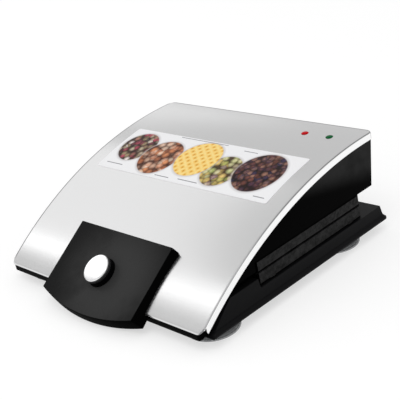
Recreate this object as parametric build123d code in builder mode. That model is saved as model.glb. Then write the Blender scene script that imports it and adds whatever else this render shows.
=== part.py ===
from build123d import *
import os
from math import cos, radians, sin, sqrt, tan

# Waffle sandwich maker with a hinged lid: millimetres, +X right, +Y back, +Z up.
# The origin is on the table, under the middle of the closed appliance.

# ------------------------------------------------------------------ steel cover
cover_width = 250.0
cover_radius = 347.5  # the cover is one long arc, level at its crest
cover_crest_y = 111.35
cover_crest_z = 89.25
cover_front_y = -101.65
cover_sheet = 0.8
cover_edge = 0.56
cover_flange = 6.0
stem_hole_clear = 1.0
cover_front_corner = 6.5
least_corner = 0.5
cover_rear_corner = 7.0
cover_gap = 0.2  # between the sheet and the moulding under it
flange_setback = 7.0  # the side flanges stop this far behind the front edge
stud_radius = 1.5
stud_length = 8.0
stud_side_inset = 13.0
stud_front_y = -10.0
stud_before_hinge = 7.5
nut_radius = 4.0
nut_sheet = 1.0
nut_gap = 0.1

# ------------------------------------------------------------------ base
foot_height = 10.1
deck_z = 22.0
front_deck_z = 29.2
deck_step_gap = 1.05  # between the raised front deck and the plates
base_side_out = 0.0  # the deck's edge against the cover's side
base_behind_hinge = 12.5  # at the deck
base_behind_front = 5.25  # behind the cover's front edge, at the deck
base_flare = 11.0  # degrees
base_wall = 2.4
base_corner = 2.5
base_rim_out = 2.0
base_rim_height = 1.5
base_rim_blend = 2.08
base_rim_slope = 40.0  # degrees
dome_gap = 3.7  # between the cover's flange and the base's curved front
floor_sheet = 1.6
floor_gap = 0.3
slot_half_width = 12.5
slot_front_y = -90.0
slot_rear_y = -61.0

# ------------------------------------------------------------------ lid moulding
lid_wall = 2.2
lid_floor_z = 43.8
lid_floor = 2.4
lid_nose_z = 36.0
nose_gap = 2.05  # between the lid's nose and the plates
lid_lip_z = 10.4
lid_low_behind_hinge = 6.5
lid_high_behind_hinge = 14.4
cover_behind_hinge = 17.6
form_lap = 0.001
form_margin = 5.0  # how far rough forms run past the finished outline
flange_cover_up = 0.4  # the moulding's front edge hides this far inside the flange

# ------------------------------------------------------------------ plates
plate_front_y = -34.15
plate_rear_y = 93.35
plate_side_inset = 2.5  # inside the cover's sides
plate_seat_gap = 0.3
plate_corner = 1.5
tub_inset_x = 3.2
tub_inset_y = 8.2
tub_gap = 0.5
tub_depth = 13.1
parting_gap = 0.5
well_depth = 10.6
well_rim = 11.5
well_divider = 12.0
well_corner = 6.0
well_draft = 12.0
stud_rows = 5
waffle_groove = 6.6
waffle_stud_height = 4.6
waffle_stud_draft = 14.0
plate_lug = (6.0, 1.2, 0.8)
plate_lug_pitch = 96.9
plate_screw_inset = 18.0
plate_hole_depth = 6.9
stud_margin = 2.0

# ------------------------------------------------------------------ heating
heater_radius = 3.2
heater_gap = 0.1
heater_side_inset = 36.5
heater_front_inset = 24.15
heater_back_inset = 35.35
heater_lead_x = 22.0
heater_lead_inset = 17.35
heater_bend = 12.0
cold_pin_radius = 1.6
cold_pin_length = 7.0
reflector_sheet = 0.4
reflector_margin = 7.0
reflector_rim = 3.0
reflector_gap = 0.4
lead_notch_clear = 2.5
thermostat_radius = 9.0
thermostat_height = 7.0
thermostat_off_centre = 5.6
thermostat_clear = 2.0
thermostat_step = 1.5
tab_size = (0.8, 6.3, 10.0)
fuse_lead = 0.5
fuse_bevel = 0.6
fuse_radius = 2.2
fuse_length = 12.0

# ------------------------------------------------------------------ hinge
hinge_behind_plate = 10.15
hinge_side_inset = 47.0
hinge_knuckle = 14.0
hinge_ear = 5.0
hinge_side_gap = 0.4
hinge_barrel = 5.5
hinge_pin_radius = 2.0
hinge_fit = 0.05
pin_head_radius = 3.2
pin_head = 1.1
clip_radius = 3.4
clip_sheet = 0.8
pin_side_gap = 0.1
nut_bore_gap = 0.03

# ------------------------------------------------------------------ handle and button
handle_slope = 33.71  # degrees from level
handle_top_y = -58.3
handle_top_z = 52.8
handle_half_width = 58.4
handle_side_length = 65.75
handle_bow = 9.75  # how far the front edge runs out beyond the sides
handle_depth = 8.75
handle_side_flare = 5.0
handle_tip_flare = 1.2
handle_wall = 2.4
handle_face = 2.2
handle_seat_gap = 0.15
handle_edge = 0.6
handle_boss_radius = 4.0
handle_screw_inset = 13.4
handle_screw_top = 14.0
handle_screw_low = 41.0
back_plate = 1.8
back_plate_gap = 0.2
button_along = 37.8  # down the face from the handle's top edge
button_travel = 3.0
button_radius = 12.9
button_well_radius = 13.3
button_well_floor_gap = 0.5  # left under the knob when it is pressed
button_skirt = 0.4  # how far the knob's ring goes below the face
button_height = 8.6
button_cap_radius = 12.3
button_cap_sheet = 1.2
button_cap_dome = 0.5
button_stem_radius = 4.0
button_fit = 0.08
button_collar = 3.0
button_ridge = 0.35
button_ridges = 36
button_hollow_radius = 10.6
button_roof = 3.0
guide_wall = 1.6
button_clip_radius = 6.5
button_clip_sheet = 1.2
button_clip_gap = 0.3
stem_end = 12.7  # below the face
stem_tip = 3.6
handle_step_gap = 0.15
handle_bottom_corner = 5.0
handle_top_corner = 0.6
screw_tip_gap = 0.3
handle_screw_gap = 1.0

# ------------------------------------------------------------------ latch
latch_arm = 18.0  # from the pivot to the middle of the button's stem
latch_pad_depth = 13.0  # under the handle's face
latch_arm_end = 4.2  # beyond the middle of the stem
latch_tail = 14.0  # behind the pivot
latch_tail_low = 1.3  # above the pivot
spring_arm = 10.0  # from the pivot to the spring
spring_radius = 2.6
spring_wire = 0.35
spring_turns = 4
spring_length = 5.6
spring_side_gap = 0.3
spring_seat_gap = 0.1
spring_seat_margin = 0.8
spring_spigot = 1.5
latch_thick = 3.0
latch_width = 12.0
latch_pin_radius = 1.5
latch_eye = 3.4
latch_pin_fit = 0.05
latch_pin_rim = 0.75
latch_ear = 3.0
latch_ear_gap = 0.6
latch_toe_z = 14.0
latch_toe_height = 3.0
latch_leg_y = -67.0
latch_leg = 3.4
latch_bite = 1.7
catch_gap = 0.4
catch_strip = 6.0
catch_sheet = 2.0
catch_half_width = 22.0
catch_screw_x = 17.6
catch_screw_length = 6.0

# ------------------------------------------------------------------ lamps and label
power_lens_inset = 54.9
ready_lens_inset = 28.3
lens_before_hinge = 5.9
lens_radius = 3.25
lens_stem_radius = 2.7
lens_proud = 0.9
lens_edge = 0.54
lens_fit = 0.1
lens_seat_gap = 0.03
lens_stem_below = 2.2
lamp_gap = 0.2
lamp_radius = 2.4
lamp_end = 1.44
lamp_length = 10.0
lamp_sleeve_wall = 1.2
lamp_sleeve_length = 9.4
lamp_fit = 0.05
label_side_inset = 18.4
label_front_y = 2.8
label_rear_y = 60.65
label_sheet = 0.2
label_gap = 0.05
label_corner = 2.0

# ------------------------------------------------------------------ feet, cord inlet, fasteners
foot_radius = 21.2
foot_lip = 1.3
foot_neck = 13.0
foot_plug = 4.0
foot_plug_head = 5.6
foot_plug_tip = 2.4
foot_plug_height = 3.0
foot_shoulder = 1.6
foot_cup = 3.8
foot_lip_width = 2.6
foot_front_inset = (22.2, 26.5)  # from the deck's side and front
foot_rear_inset = (22.9, 37.3)  # from the deck's side and rear
pedestal_radius = 15.5
pedestal_drop = 2.0
inlet_x = -60.0
inlet_z = 16.95
inlet_bore = 2.8
inlet_outer = 3.6
inlet_flange = 4.2
inlet_flange_sheet = 1.8
inlet_length = 9.0
inlet_fit = 0.1
inlet_seat_gap = 0.05
inlet_barb = 0.3
inlet_barb_length = 1.2
screw_radius = 2.0
screw_head_radius = 3.6
screw_head = 2.2
screw_edge = 0.88
screw_slot_depth = 1.1
screw_slot = 0.7
screw_fit = 0.08
screw_clear = 0.24
screw_seat_gap = 0.2
boss_radius = 4.6
floor_screw_length = 9.0
floor_screw_front_y = -48.0
floor_screw_front_inset = 27.0
floor_screw_rear_inset = 19.0
vent_y = 41.0
vent_pitch = 9.0
vent_count = 9
vent_length = 26.0
vent_width = 3.0
block_size = (34.0, 11.0, 7.0)
block_x = 24.0
block_behind_hinge = 0.5
block_corner = 1.5
block_wire_radius = 2.0
block_screw_radius = 1.6
clamp_size = (28.0, 9.4, 3.6)
clamp_before_hinge = 3.5
clamp_screw_x = 9.0
clamp_groove = 3.0
clamp_groove_up = 0.6
clamp_rise = 0.9
clamp_screw_length = 3.4

# ------------------------------------------------------------------ worked out from the above
cover_axis_z = cover_crest_z - cover_radius
plate_width = cover_width - 2 * plate_side_inset
plate_depth = plate_rear_y - plate_front_y
plate_centre_y = (plate_front_y + plate_rear_y) / 2
hinge_y = plate_rear_y + hinge_behind_plate
hinge_x = cover_width / 2 - hinge_side_inset
cover_rear_y = hinge_y + cover_behind_hinge
lid_rear_low_y = hinge_y + lid_low_behind_hinge
lid_rear_high_y = hinge_y + lid_high_behind_hinge
lid_nose_rear_y = plate_front_y - nose_gap
base_width = cover_width + 2 * base_side_out
base_front_y = cover_front_y + base_behind_front
base_rear_y = hinge_y + base_behind_hinge
front_deck_end_y = plate_front_y - deck_step_gap
foot_front = (base_width / 2 - foot_front_inset[0], base_front_y + foot_front_inset[1])
foot_rear = (base_width / 2 - foot_rear_inset[0], base_rear_y - foot_rear_inset[1])
floor_screw_front_x = base_width / 2 - floor_screw_front_inset
floor_screw_rear_x = base_width / 2 - floor_screw_rear_inset
stud_x = cover_width / 2 - stud_side_inset
stud_rear_y = hinge_y - stud_before_hinge
power_lens_x = cover_width / 2 - power_lens_inset
ready_lens_x = cover_width / 2 - ready_lens_inset
lens_y = hinge_y - lens_before_hinge
label_half_width = cover_width / 2 - label_side_inset
heater_half_x = plate_width / 2 - heater_side_inset
heater_front_y = plate_front_y + heater_front_inset
heater_back_y = plate_rear_y - heater_back_inset
heater_lead_y = plate_rear_y - heater_lead_inset
thermostat_y = plate_centre_y - thermostat_off_centre
block_y = hinge_y + block_behind_hinge
clamp_y = hinge_y - clamp_before_hinge
handle_screw_x = handle_half_width - handle_screw_inset
handle_tip_length = handle_side_length + handle_bow
parting_z = (deck_z + lid_floor_z) / 2
plate_top_z = parting_z - parting_gap / 2
band_height = plate_top_z - deck_z - plate_seat_gap
floor_top_z = foot_height + floor_sheet
hinge_z = parting_z
shell_radius = cover_radius - cover_sheet - cover_gap
skin_radius = shell_radius - lid_wall
base_dome = cover_radius - cover_flange - dome_gap
far = 400.0
slope = radians(handle_slope)
down_slope = Vector(0, -cos(slope), -sin(slope))
face_normal = Vector(0, -sin(slope), cos(slope))
handle_origin = Vector(0, handle_top_y, handle_top_z)
handle_plane = Plane(origin=handle_origin, x_dir=(1, 0, 0), z_dir=face_normal)
button_centre = handle_origin + down_slope * button_along
button_plane = Plane(origin=button_centre, x_dir=(1, 0, 0), z_dir=face_normal)
latch_pivot = (
    handle_origin
    + down_slope * (button_along - latch_arm)
    - face_normal * (latch_pad_depth + latch_thick / 2)
)
heater_z = plate_top_z - tub_depth - heater_gap - heater_radius
reflector_z = heater_z - heater_radius - reflector_gap - reflector_sheet
spring_y = latch_pivot.Y + spring_arm
spring_low_z = latch_pivot.Z + latch_tail_low + latch_thick + spring_seat_gap
spring_top_z = spring_low_z + spring_length + spring_seat_gap


def dome_z(radius, y):
    """Height at y of the arc of this radius about the cover's axis."""
    return cover_axis_z + sqrt(radius**2 - (y - cover_crest_y) ** 2)


def dome_y(radius, z):
    """Place, in front of the crest, where the arc of this radius is at height z."""
    return cover_crest_y - sqrt(radius**2 - (z - cover_axis_z) ** 2)


def dome_arc(radius, y_from, y_to):
    """Arc about the cover's axis, drawn in a YZ sketch; returns its two ends."""
    middle = (y_from + y_to) / 2
    start = (y_from, dome_z(radius, y_from))
    end = (y_to, dome_z(radius, y_to))
    ThreePointArc(start, (middle, dome_z(radius, middle)), end)
    return start, end


def dome_depth(radius, along):
    """How far below the handle's face the arc of this radius lies, along the face's normal."""
    point = handle_origin + down_slope * along - Vector(0, cover_crest_y, cover_axis_z)
    rise = point.dot(face_normal)
    return rise - sqrt(rise**2 - point.length**2 + radius**2)


def under_dome(radius, y_from, y_to, half_width=far, z_low=-far):
    """Solid under an arc about the cover's axis, between two places in Y."""
    with BuildPart() as block:
        with BuildSketch(Plane.YZ):
            with BuildLine():
                start, end = dome_arc(radius, y_from, y_to)
                Polyline(end, (y_to, z_low), (y_from, z_low), start)
            make_face()
        extrude(amount=half_width, both=True)
    return block.part


def plan_prism(inset):
    """Upright block with the cover's rounded outline, moved in by inset."""
    with BuildPart() as block:
        with BuildSketch() as plan:
            with Locations((0, (cover_front_y + cover_rear_y) / 2)):
                Rectangle(cover_width - 2 * inset, cover_rear_y - cover_front_y - 2 * inset)
            rows = plan.vertices().group_by(Axis.Y)
            fillet(rows[0], max(cover_front_corner - inset, least_corner))
            fillet(rows[-1], max(cover_rear_corner - inset, least_corner))
        extrude(amount=cover_crest_z + form_margin)
    return block.part


def save(piece, name):
    piece.part.label = name
    export_step(piece.part, f"parts/{name}.step")


def screw(plane, length):
    """Pan-head screw: the head's seat is on the plane and the shank runs along its normal."""
    with BuildPart(plane) as one:
        Cylinder(screw_radius, length, align=(Align.CENTER, Align.CENTER, Align.MIN))
        with Locations((0, 0, -screw_head)):
            Cylinder(
                screw_head_radius, screw_head, align=(Align.CENTER, Align.CENTER, Align.MIN)
            )
        rim = one.edges().filter_by(GeomType.CIRCLE).sort_by(SortBy.RADIUS)[-2:]
        fillet(rim.sort_by(Axis(plane.origin, plane.z_dir))[0], screw_edge)
        with BuildSketch(plane.offset(-screw_head)):
            Rectangle(screw_radius * 2, screw_slot)
            Rectangle(screw_slot, screw_radius * 2)
        extrude(amount=screw_slot_depth, mode=Mode.SUBTRACT)
    return one.part


def screws(planes, length):
    """Group of like screws, one separate solid on each plane."""
    with BuildPart() as group:
        for plane in planes:
            add(screw(plane, length))
    return group


os.makedirs("parts", exist_ok=True)

# ------------------------------------------------------------------ places of the fasteners
handle_screw_points = [
    (x, -y) for x in (-handle_screw_x, handle_screw_x) for y in (handle_screw_top, handle_screw_low)
]
plate_screw_x = plate_width / 2 - plate_screw_inset
plate_screw_y = plate_depth / 2 - tub_inset_y / 2
plate_screw_points = [
    (x, plate_centre_y + y)
    for x in (-plate_screw_x, plate_screw_x)
    for y in (-plate_screw_y, plate_screw_y)
]
floor_screw_points = [(side * floor_screw_front_x, floor_screw_front_y) for side in (-1, 0, 1)] + [
    (side * floor_screw_rear_x, hinge_y) for side in (-1, 0, 1)
]
stud_points = [(x, y) for x in (-stud_x, stud_x) for y in (stud_front_y, stud_rear_y)]
foot_points = [
    (side * x, y) for x, y in (foot_front, foot_rear) for side in (-1, 1)
]

# ------------------------------------------------------------------ steel cover
with BuildPart() as steel_cover:
    add(plan_prism(0))
    outside = under_dome(cover_radius, cover_front_y - form_margin, cover_rear_y + form_margin)
    add(outside, mode=Mode.INTERSECT)
    inner = plan_prism(cover_sheet)
    hollow = under_dome(cover_radius - cover_sheet, cover_front_y - form_margin, cover_rear_y + form_margin)
    add(inner & hollow, mode=Mode.SUBTRACT)
    add(
        under_dome(cover_radius - cover_sheet, cover_front_y - form_margin, cover_front_y + flange_setback),
        mode=Mode.SUBTRACT,
    )
    add(
        under_dome(cover_radius - cover_flange, cover_front_y - form_margin, cover_rear_y + form_margin),
        mode=Mode.SUBTRACT,
    )
    skin_face = steel_cover.faces().sort_by(SortBy.AREA)[-2:].sort_by(Axis.Z)[-1]
    fillet(skin_face.outer_wire().edges(), cover_edge)
    for x, y in stud_points:
        with Locations((x, y, dome_z(cover_radius, y) - stud_length)):
            Cylinder(
                stud_radius,
                stud_length - cover_sheet / 2,
                align=(Align.CENTER, Align.CENTER, Align.MIN),
            )
    with BuildSketch(button_plane):
        Circle(button_stem_radius + stem_hole_clear)
    extrude(amount=far / 10, both=True, mode=Mode.SUBTRACT)
    with BuildSketch(handle_plane):
        with Locations(*handle_screw_points):
            Circle(screw_radius + screw_clear)
    extrude(amount=far / 10, both=True, mode=Mode.SUBTRACT)
    with BuildSketch(Plane.XY.offset(cover_crest_z - 10)):
        with Locations((power_lens_x, lens_y), (ready_lens_x, lens_y)):
            Circle(lens_stem_radius + lens_fit)
    extrude(amount=20, mode=Mode.SUBTRACT)
save(steel_cover, "steel_cover")

# ------------------------------------------------------------------ lid moulding
lid_inset = cover_sheet + cover_gap
lid_rear_slope = (lid_rear_high_y - lid_rear_low_y) / (dome_z(shell_radius, lid_rear_high_y) - lid_floor_z)


def lid_profile(drop, floor_z, rear_wall):
    """Side outline of the lid behind its nose, lowered from the arc and moved off the rear."""
    radius = shell_radius - drop
    rear_low = lid_rear_low_y - rear_wall + (floor_z - lid_floor_z) * lid_rear_slope
    rear_high = lid_rear_high_y - rear_wall - drop * lid_rear_slope
    start = (lid_nose_rear_y, dome_z(radius, lid_nose_rear_y))
    end = (rear_high, dome_z(radius, rear_high))
    middle = (0, dome_z(radius, 0))
    with BuildPart() as block:
        with BuildSketch(Plane.YZ):
            with BuildLine():
                ThreePointArc(start, middle, end)
                Polyline(end, (rear_low, floor_z), (lid_nose_rear_y, floor_z), start)
            make_face()
        extrude(amount=far, both=True)
    return block.part


def lid_nose(drop, rear_y):
    """Side outline of the lid in front of the plates, open towards the base."""
    radius = shell_radius - drop
    edge_radius = cover_radius - cover_flange + flange_cover_up
    edge_y = dome_y(edge_radius, lid_nose_z)
    lip_y = dome_y(edge_radius, lid_lip_z)
    front = cover_front_y
    with BuildPart() as block:
        with BuildSketch(Plane.YZ):
            with BuildLine():
                start, end = dome_arc(radius, front, rear_y)
                Polyline(end, (rear_y, lid_nose_z), (edge_y, lid_nose_z))
                low_start, low_end = dome_arc(edge_radius, edge_y, lip_y)
                Polyline(low_end, (front, lid_lip_z), start)
            make_face()
        extrude(amount=far, both=True)
    return block.part


def eye_link(plane, radius, length, thick):
    """Upright link with a round lower end: the eye is at the plane's origin."""
    with BuildPart() as link:
        with BuildSketch(plane):
            Circle(radius)
            Rectangle(2 * radius, length, align=(Align.CENTER, Align.MIN))
        extrude(amount=thick / 2, both=True)
    return link.part


with BuildPart() as lid_form:
    add(lid_profile(0, lid_floor_z, 0))
    add(lid_nose(0, lid_nose_rear_y + form_lap))

# ears for the latch pin and seat for the latch spring, hanging from the skin
with BuildPart() as lid_hangers:
    for side in (-1, 1):
        ear_x = side * (latch_width / 2 + latch_ear_gap + latch_ear / 2)
        ear_plane = Plane(origin=(ear_x, latch_pivot.Y, latch_pivot.Z), x_dir=(0, 1, 0), z_dir=(1, 0, 0))
        add(eye_link(ear_plane, latch_eye, cover_crest_z, latch_ear))
    with BuildSketch(Plane.XY.offset(spring_top_z)):
        with Locations((0, spring_y)):
            Circle(spring_radius + spring_wire + spring_seat_margin)
    extrude(amount=cover_crest_z)
    with BuildSketch(Plane.XY.offset(spring_top_z - spring_spigot)):
        with Locations((0, spring_y)):
            Circle(spring_radius - spring_wire - spring_side_gap)
    extrude(amount=spring_spigot + 1)
    add(under_dome(skin_radius + lid_wall / 2, cover_front_y, 0), mode=Mode.INTERSECT)

knuckle_rise = lid_floor_z + lid_floor / 2 - hinge_z
with BuildPart() as lid_shell:
    add(plan_prism(lid_inset))
    add(lid_form.part, mode=Mode.INTERSECT)
    room = plan_prism(lid_inset + lid_wall)
    rear_room = lid_profile(lid_wall, lid_floor_z + lid_floor, lid_wall)
    add(room & rear_room, mode=Mode.SUBTRACT)
    bulkhead_front = lid_nose_rear_y - lid_wall
    add(room & under_dome(skin_radius, cover_front_y - form_margin, bulkhead_front), mode=Mode.SUBTRACT)
    # opening for the tub of the upper plate
    with BuildSketch(Plane.XY.offset(lid_floor_z)):
        with Locations((0, plate_centre_y)):
            Rectangle(
                plate_width - 2 * (tub_inset_x - tub_gap), plate_depth - 2 * (tub_inset_y - tub_gap)
            )
    extrude(amount=far / 20, both=True, mode=Mode.SUBTRACT)
    # hinge knuckles under the floor
    for side in (-1, 1):
        knuckle_plane = Plane(origin=(side * hinge_x, hinge_y, hinge_z), x_dir=(0, 1, 0), z_dir=(1, 0, 0))
        add(eye_link(knuckle_plane, hinge_barrel, knuckle_rise, hinge_knuckle))
    with BuildSketch(Plane.YZ):
        with Locations((hinge_y, hinge_z)):
            Circle(hinge_pin_radius + hinge_fit)
    extrude(amount=hinge_x + hinge_knuckle, both=True, mode=Mode.SUBTRACT)
    add(lid_hangers.part)
    with BuildSketch(Plane.YZ):
        with Locations((latch_pivot.Y, latch_pivot.Z)):
            Circle(latch_pin_radius + latch_pin_fit)
    extrude(amount=latch_width + latch_ear, both=True, mode=Mode.SUBTRACT)
    # holes through the skin for the stem, the handle's screws, the lamps and the cover's studs
    with BuildSketch(button_plane):
        Circle(button_stem_radius + button_fit)
    extrude(amount=-far / 20, mode=Mode.SUBTRACT)
    with BuildSketch(handle_plane):
        with Locations(*handle_screw_points):
            Circle(screw_radius + screw_clear)
    extrude(amount=far / 10, both=True, mode=Mode.SUBTRACT)
    with BuildSketch(Plane.XY.offset(cover_crest_z - 10)):
        with Locations((power_lens_x, lens_y), (ready_lens_x, lens_y)):
            Circle(lens_stem_radius + lens_fit)
        with Locations(*stud_points):
            Circle(stud_radius + lens_fit)
    extrude(amount=20, mode=Mode.SUBTRACT)
    with BuildSketch(Plane.XY.offset(lid_floor_z + lid_floor)):
        with Locations(*stud_points):
            Circle(stud_radius + lens_fit)
    extrude(amount=far / 5, mode=Mode.SUBTRACT)
    # holes in the floor for the screws of the upper plate
    with BuildSketch(Plane.XY.offset(lid_floor_z)):
        with Locations(*plate_screw_points):
            Circle(screw_radius + screw_fit)
    extrude(amount=lid_floor + form_margin, mode=Mode.SUBTRACT)
save(lid_shell, "lid_shell")

# ------------------------------------------------------------------ base moulding
deck_slope = tan(radians(base_flare))
catch_z = latch_toe_z + latch_toe_height + catch_gap
latch_toe_y = latch_leg_y - latch_leg / 2 - catch_gap - latch_bite
catch_y = latch_toe_y + latch_bite - catch_strip / 2
catch_screw_points = [(-catch_screw_x, catch_y), (catch_screw_x, catch_y)]
inlet_wall_y = base_rear_y + (deck_z - inlet_z) * deck_slope
inlet_plane = Plane(
    origin=(inlet_x, inlet_wall_y, inlet_z),
    x_dir=(1, 0, 0),
    z_dir=(0, cos(radians(base_flare)), sin(radians(base_flare))),
)
clamp_top_z = inlet_z + clamp_rise
clamp_screw_points = [(inlet_x + side * clamp_screw_x, clamp_y) for side in (-1, 1)]
base_middle_y = (base_front_y + base_rear_y) / 2


def base_profile(drop, wall):
    """Side outline of the base: curved front, raised front deck and low rear deck."""
    radius = base_dome - drop
    front = base_front_y - form_margin
    curve_end = dome_y(radius, front_deck_z - drop)
    step_y = front_deck_end_y - wall
    rear = base_rear_y + far
    with BuildPart() as block:
        with BuildSketch(Plane.YZ):
            with BuildLine():
                start, end = dome_arc(radius, front, curve_end)
                Polyline(
                    end,
                    (step_y, front_deck_z - drop),
                    (step_y, deck_z - drop),
                    (rear, deck_z - drop),
                    (rear, -form_margin),
                    (front, -form_margin),
                    start,
                )
            make_face()
        extrude(amount=far, both=True)
    return block.part


def base_plan(z, inset):
    """Rounded outline of the base at this height; it widens downwards."""
    spread = (deck_z - z) * deck_slope - inset
    with BuildSketch(Plane.XY.offset(z)) as plan:
        with Locations((0, base_middle_y)):
            RectangleRounded(
                base_width + 2 * spread,
                base_rear_y - base_front_y + 2 * spread,
                max(base_corner - inset, least_corner),
            )
    return plan.sketch


def base_block(inset, drop):
    """The whole body of the base, with its walls moved in and its decks lowered."""
    with BuildPart() as block:
        add(base_plan(foot_height, inset))
        extrude(amount=front_deck_z - foot_height, taper=base_flare)
        add(base_profile(drop, inset), mode=Mode.INTERSECT)
    return block.part


# rim round the bottom edge
with BuildPart() as base_rim:
    add(base_plan(foot_height, -base_rim_out))
    extrude(amount=base_rim_height)
    add(base_plan(foot_height + base_rim_height, -base_rim_out))
    extrude(amount=base_rim_blend, taper=base_rim_slope)
    add(base_profile(0, 0), mode=Mode.INTERSECT)

# bosses for the floor's screws, the catch and the cord clamp
with BuildPart() as base_bosses:
    with BuildSketch(Plane.XY.offset(floor_top_z)):
        with Locations(*floor_screw_points):
            Circle(boss_radius)
    extrude(amount=deck_z)
    with BuildSketch(Plane.XY.offset(catch_z + catch_sheet)):
        with Locations(*catch_screw_points):
            Circle(boss_radius)
    extrude(amount=deck_z)
    with BuildSketch(Plane.XY.offset(clamp_top_z)):
        with Locations(*clamp_screw_points):
            Circle(boss_radius)
    extrude(amount=deck_z)
    add(base_block(base_wall / 2, base_wall / 2), mode=Mode.INTERSECT)

with BuildPart() as base_shell:
    add(base_block(0, 0))
    add(base_rim.part)
    add(base_block(base_wall, base_wall), mode=Mode.SUBTRACT)
    # well for the tub of the lower plate
    with BuildSketch(Plane.XY.offset(deck_z - base_wall * 2)):
        with Locations((0, plate_centre_y)):
            Rectangle(
                plate_width - 2 * (tub_inset_x - tub_gap), plate_depth - 2 * (tub_inset_y - tub_gap)
            )
    extrude(amount=base_wall * 4, mode=Mode.SUBTRACT)
    # slot that the latch drops into
    with BuildSketch(Plane.XY.offset(foot_height + base_wall)):
        with Locations((0, (slot_front_y + slot_rear_y) / 2)):
            Rectangle(2 * slot_half_width, slot_rear_y - slot_front_y)
    extrude(amount=far / 10, mode=Mode.SUBTRACT)
    # hinge ears
    ear_middle = hinge_knuckle / 2 + hinge_side_gap + hinge_ear / 2
    for x in (side * hinge_x + way * ear_middle for side in (-1, 1) for way in (-1, 1)):
        with BuildSketch(Plane.YZ.offset(x)):
            with Locations((hinge_y, hinge_z)):
                Circle(hinge_barrel)
                Rectangle(
                    2 * hinge_barrel,
                    hinge_z - deck_z + base_wall / 2,
                    align=(Align.CENTER, Align.MAX),
                )
        extrude(amount=hinge_ear / 2, both=True)
    with BuildSketch(Plane.YZ):
        with Locations((hinge_y, hinge_z)):
            Circle(hinge_pin_radius + hinge_fit)
    extrude(amount=hinge_x + 2 * ear_middle, both=True, mode=Mode.SUBTRACT)
    add(base_bosses.part)
    # holes for the screws of the floor, the catch, the clamp and the plate
    for points, z, depth in (
        (floor_screw_points, floor_top_z, floor_screw_length),
        (catch_screw_points, catch_z + catch_sheet, catch_screw_length),
        (clamp_screw_points, clamp_top_z, clamp_screw_length),
        (plate_screw_points, deck_z - 2 * base_wall, 3 * base_wall),
    ):
        with BuildSketch(Plane.XY.offset(z)):
            with Locations(*points):
                Circle(screw_radius + screw_fit)
        extrude(amount=depth, mode=Mode.SUBTRACT)
    # hole for the cord inlet, a flat seat for its flange in the rim and room for its barb inside
    with BuildSketch(inlet_plane):
        Circle(inlet_outer + inlet_fit)
    extrude(amount=inlet_length, both=True, mode=Mode.SUBTRACT)
    with BuildSketch(inlet_plane):
        Circle(inlet_flange + inlet_fit)
    extrude(amount=inlet_length, mode=Mode.SUBTRACT)
    with BuildSketch(inlet_plane.offset(-base_wall)):
        Circle(inlet_outer + inlet_barb + inlet_fit)
    extrude(amount=-inlet_length, mode=Mode.SUBTRACT)
save(base_shell, "base_shell")

# ------------------------------------------------------------------ bottom cover
with BuildPart() as bottom_cover:
    add(base_plan(foot_height, base_wall + floor_gap))
    extrude(amount=floor_sheet, taper=base_flare)
    add(base_profile(base_wall + floor_gap, base_wall + floor_gap), mode=Mode.INTERSECT)
    with BuildSketch(Plane.XY.offset(foot_height - pedestal_drop)):
        with Locations(*foot_points):
            Circle(pedestal_radius)
    extrude(amount=pedestal_drop + floor_sheet / 2)
    with BuildSketch(Plane.XY.offset(foot_height - pedestal_drop)):
        with Locations(*foot_points):
            Circle(foot_plug + floor_gap)
    extrude(amount=pedestal_drop + floor_sheet, mode=Mode.SUBTRACT)
    with BuildSketch(Plane.XY.offset(foot_height)):
        with Locations(*floor_screw_points):
            Circle(screw_radius + screw_fit)
    extrude(amount=floor_sheet, mode=Mode.SUBTRACT)
    with BuildSketch(Plane.XY.offset(foot_height)):
        with Locations((0, -vent_y + plate_centre_y), (0, vent_y + plate_centre_y)):
            with GridLocations(vent_pitch, 0, vent_count, 1):
                SlotOverall(vent_length, vent_width, rotation=90)
    extrude(amount=floor_sheet, mode=Mode.SUBTRACT)
save(bottom_cover, "bottom_cover")

floor_screws = screws([Plane((x, y, foot_height)) for x, y in floor_screw_points], floor_screw_length)
save(floor_screws, "floor_screws")

# ------------------------------------------------------------------ suction feet
foot_top = foot_height - pedestal_drop


def foot(x, y):
    """Silicone suction cup with a mushroom plug that snaps through the bottom cover."""
    shoulder = foot_top - foot_shoulder
    with BuildPart() as cup:
        with BuildSketch(Plane.XZ):
            with BuildLine():
                Polyline(
                    (0, foot_cup),
                    (foot_neck - foot_lip_width, foot_cup),
                    (foot_radius - foot_lip_width, 0),
                    (foot_radius, 0),
                    (foot_radius, foot_lip),
                    (foot_neck, shoulder),
                    (foot_neck, foot_top),
                    (foot_plug, foot_top),
                    (foot_plug, floor_top_z + floor_gap),
                    (foot_plug_head, floor_top_z + floor_gap),
                    (foot_plug_tip, floor_top_z + foot_plug_height),
                    (0, floor_top_z + foot_plug_height),
                    (0, foot_cup),
                )
            make_face()
        revolve(axis=Axis.Z)
    with BuildPart() as placed:
        with Locations((x, y, 0)):
            add(cup.part)
    return placed


for (x, y), name in zip(foot_points, ("front_left", "front_right", "rear_left", "rear_right")):
    save(foot(x, y), f"foot_{name}")

# ------------------------------------------------------------------ waffle plates
stud_pitch_x = ((plate_width - 2 * well_rim - well_divider) / 2 - 2 * stud_margin) / stud_rows
stud_pitch_y = (plate_depth - 2 * well_rim - 2 * stud_margin) / stud_rows
well_width = (plate_width - 2 * well_rim - well_divider) / 2
well_length = plate_depth - 2 * well_rim
well_pitch = well_width + well_divider


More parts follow.
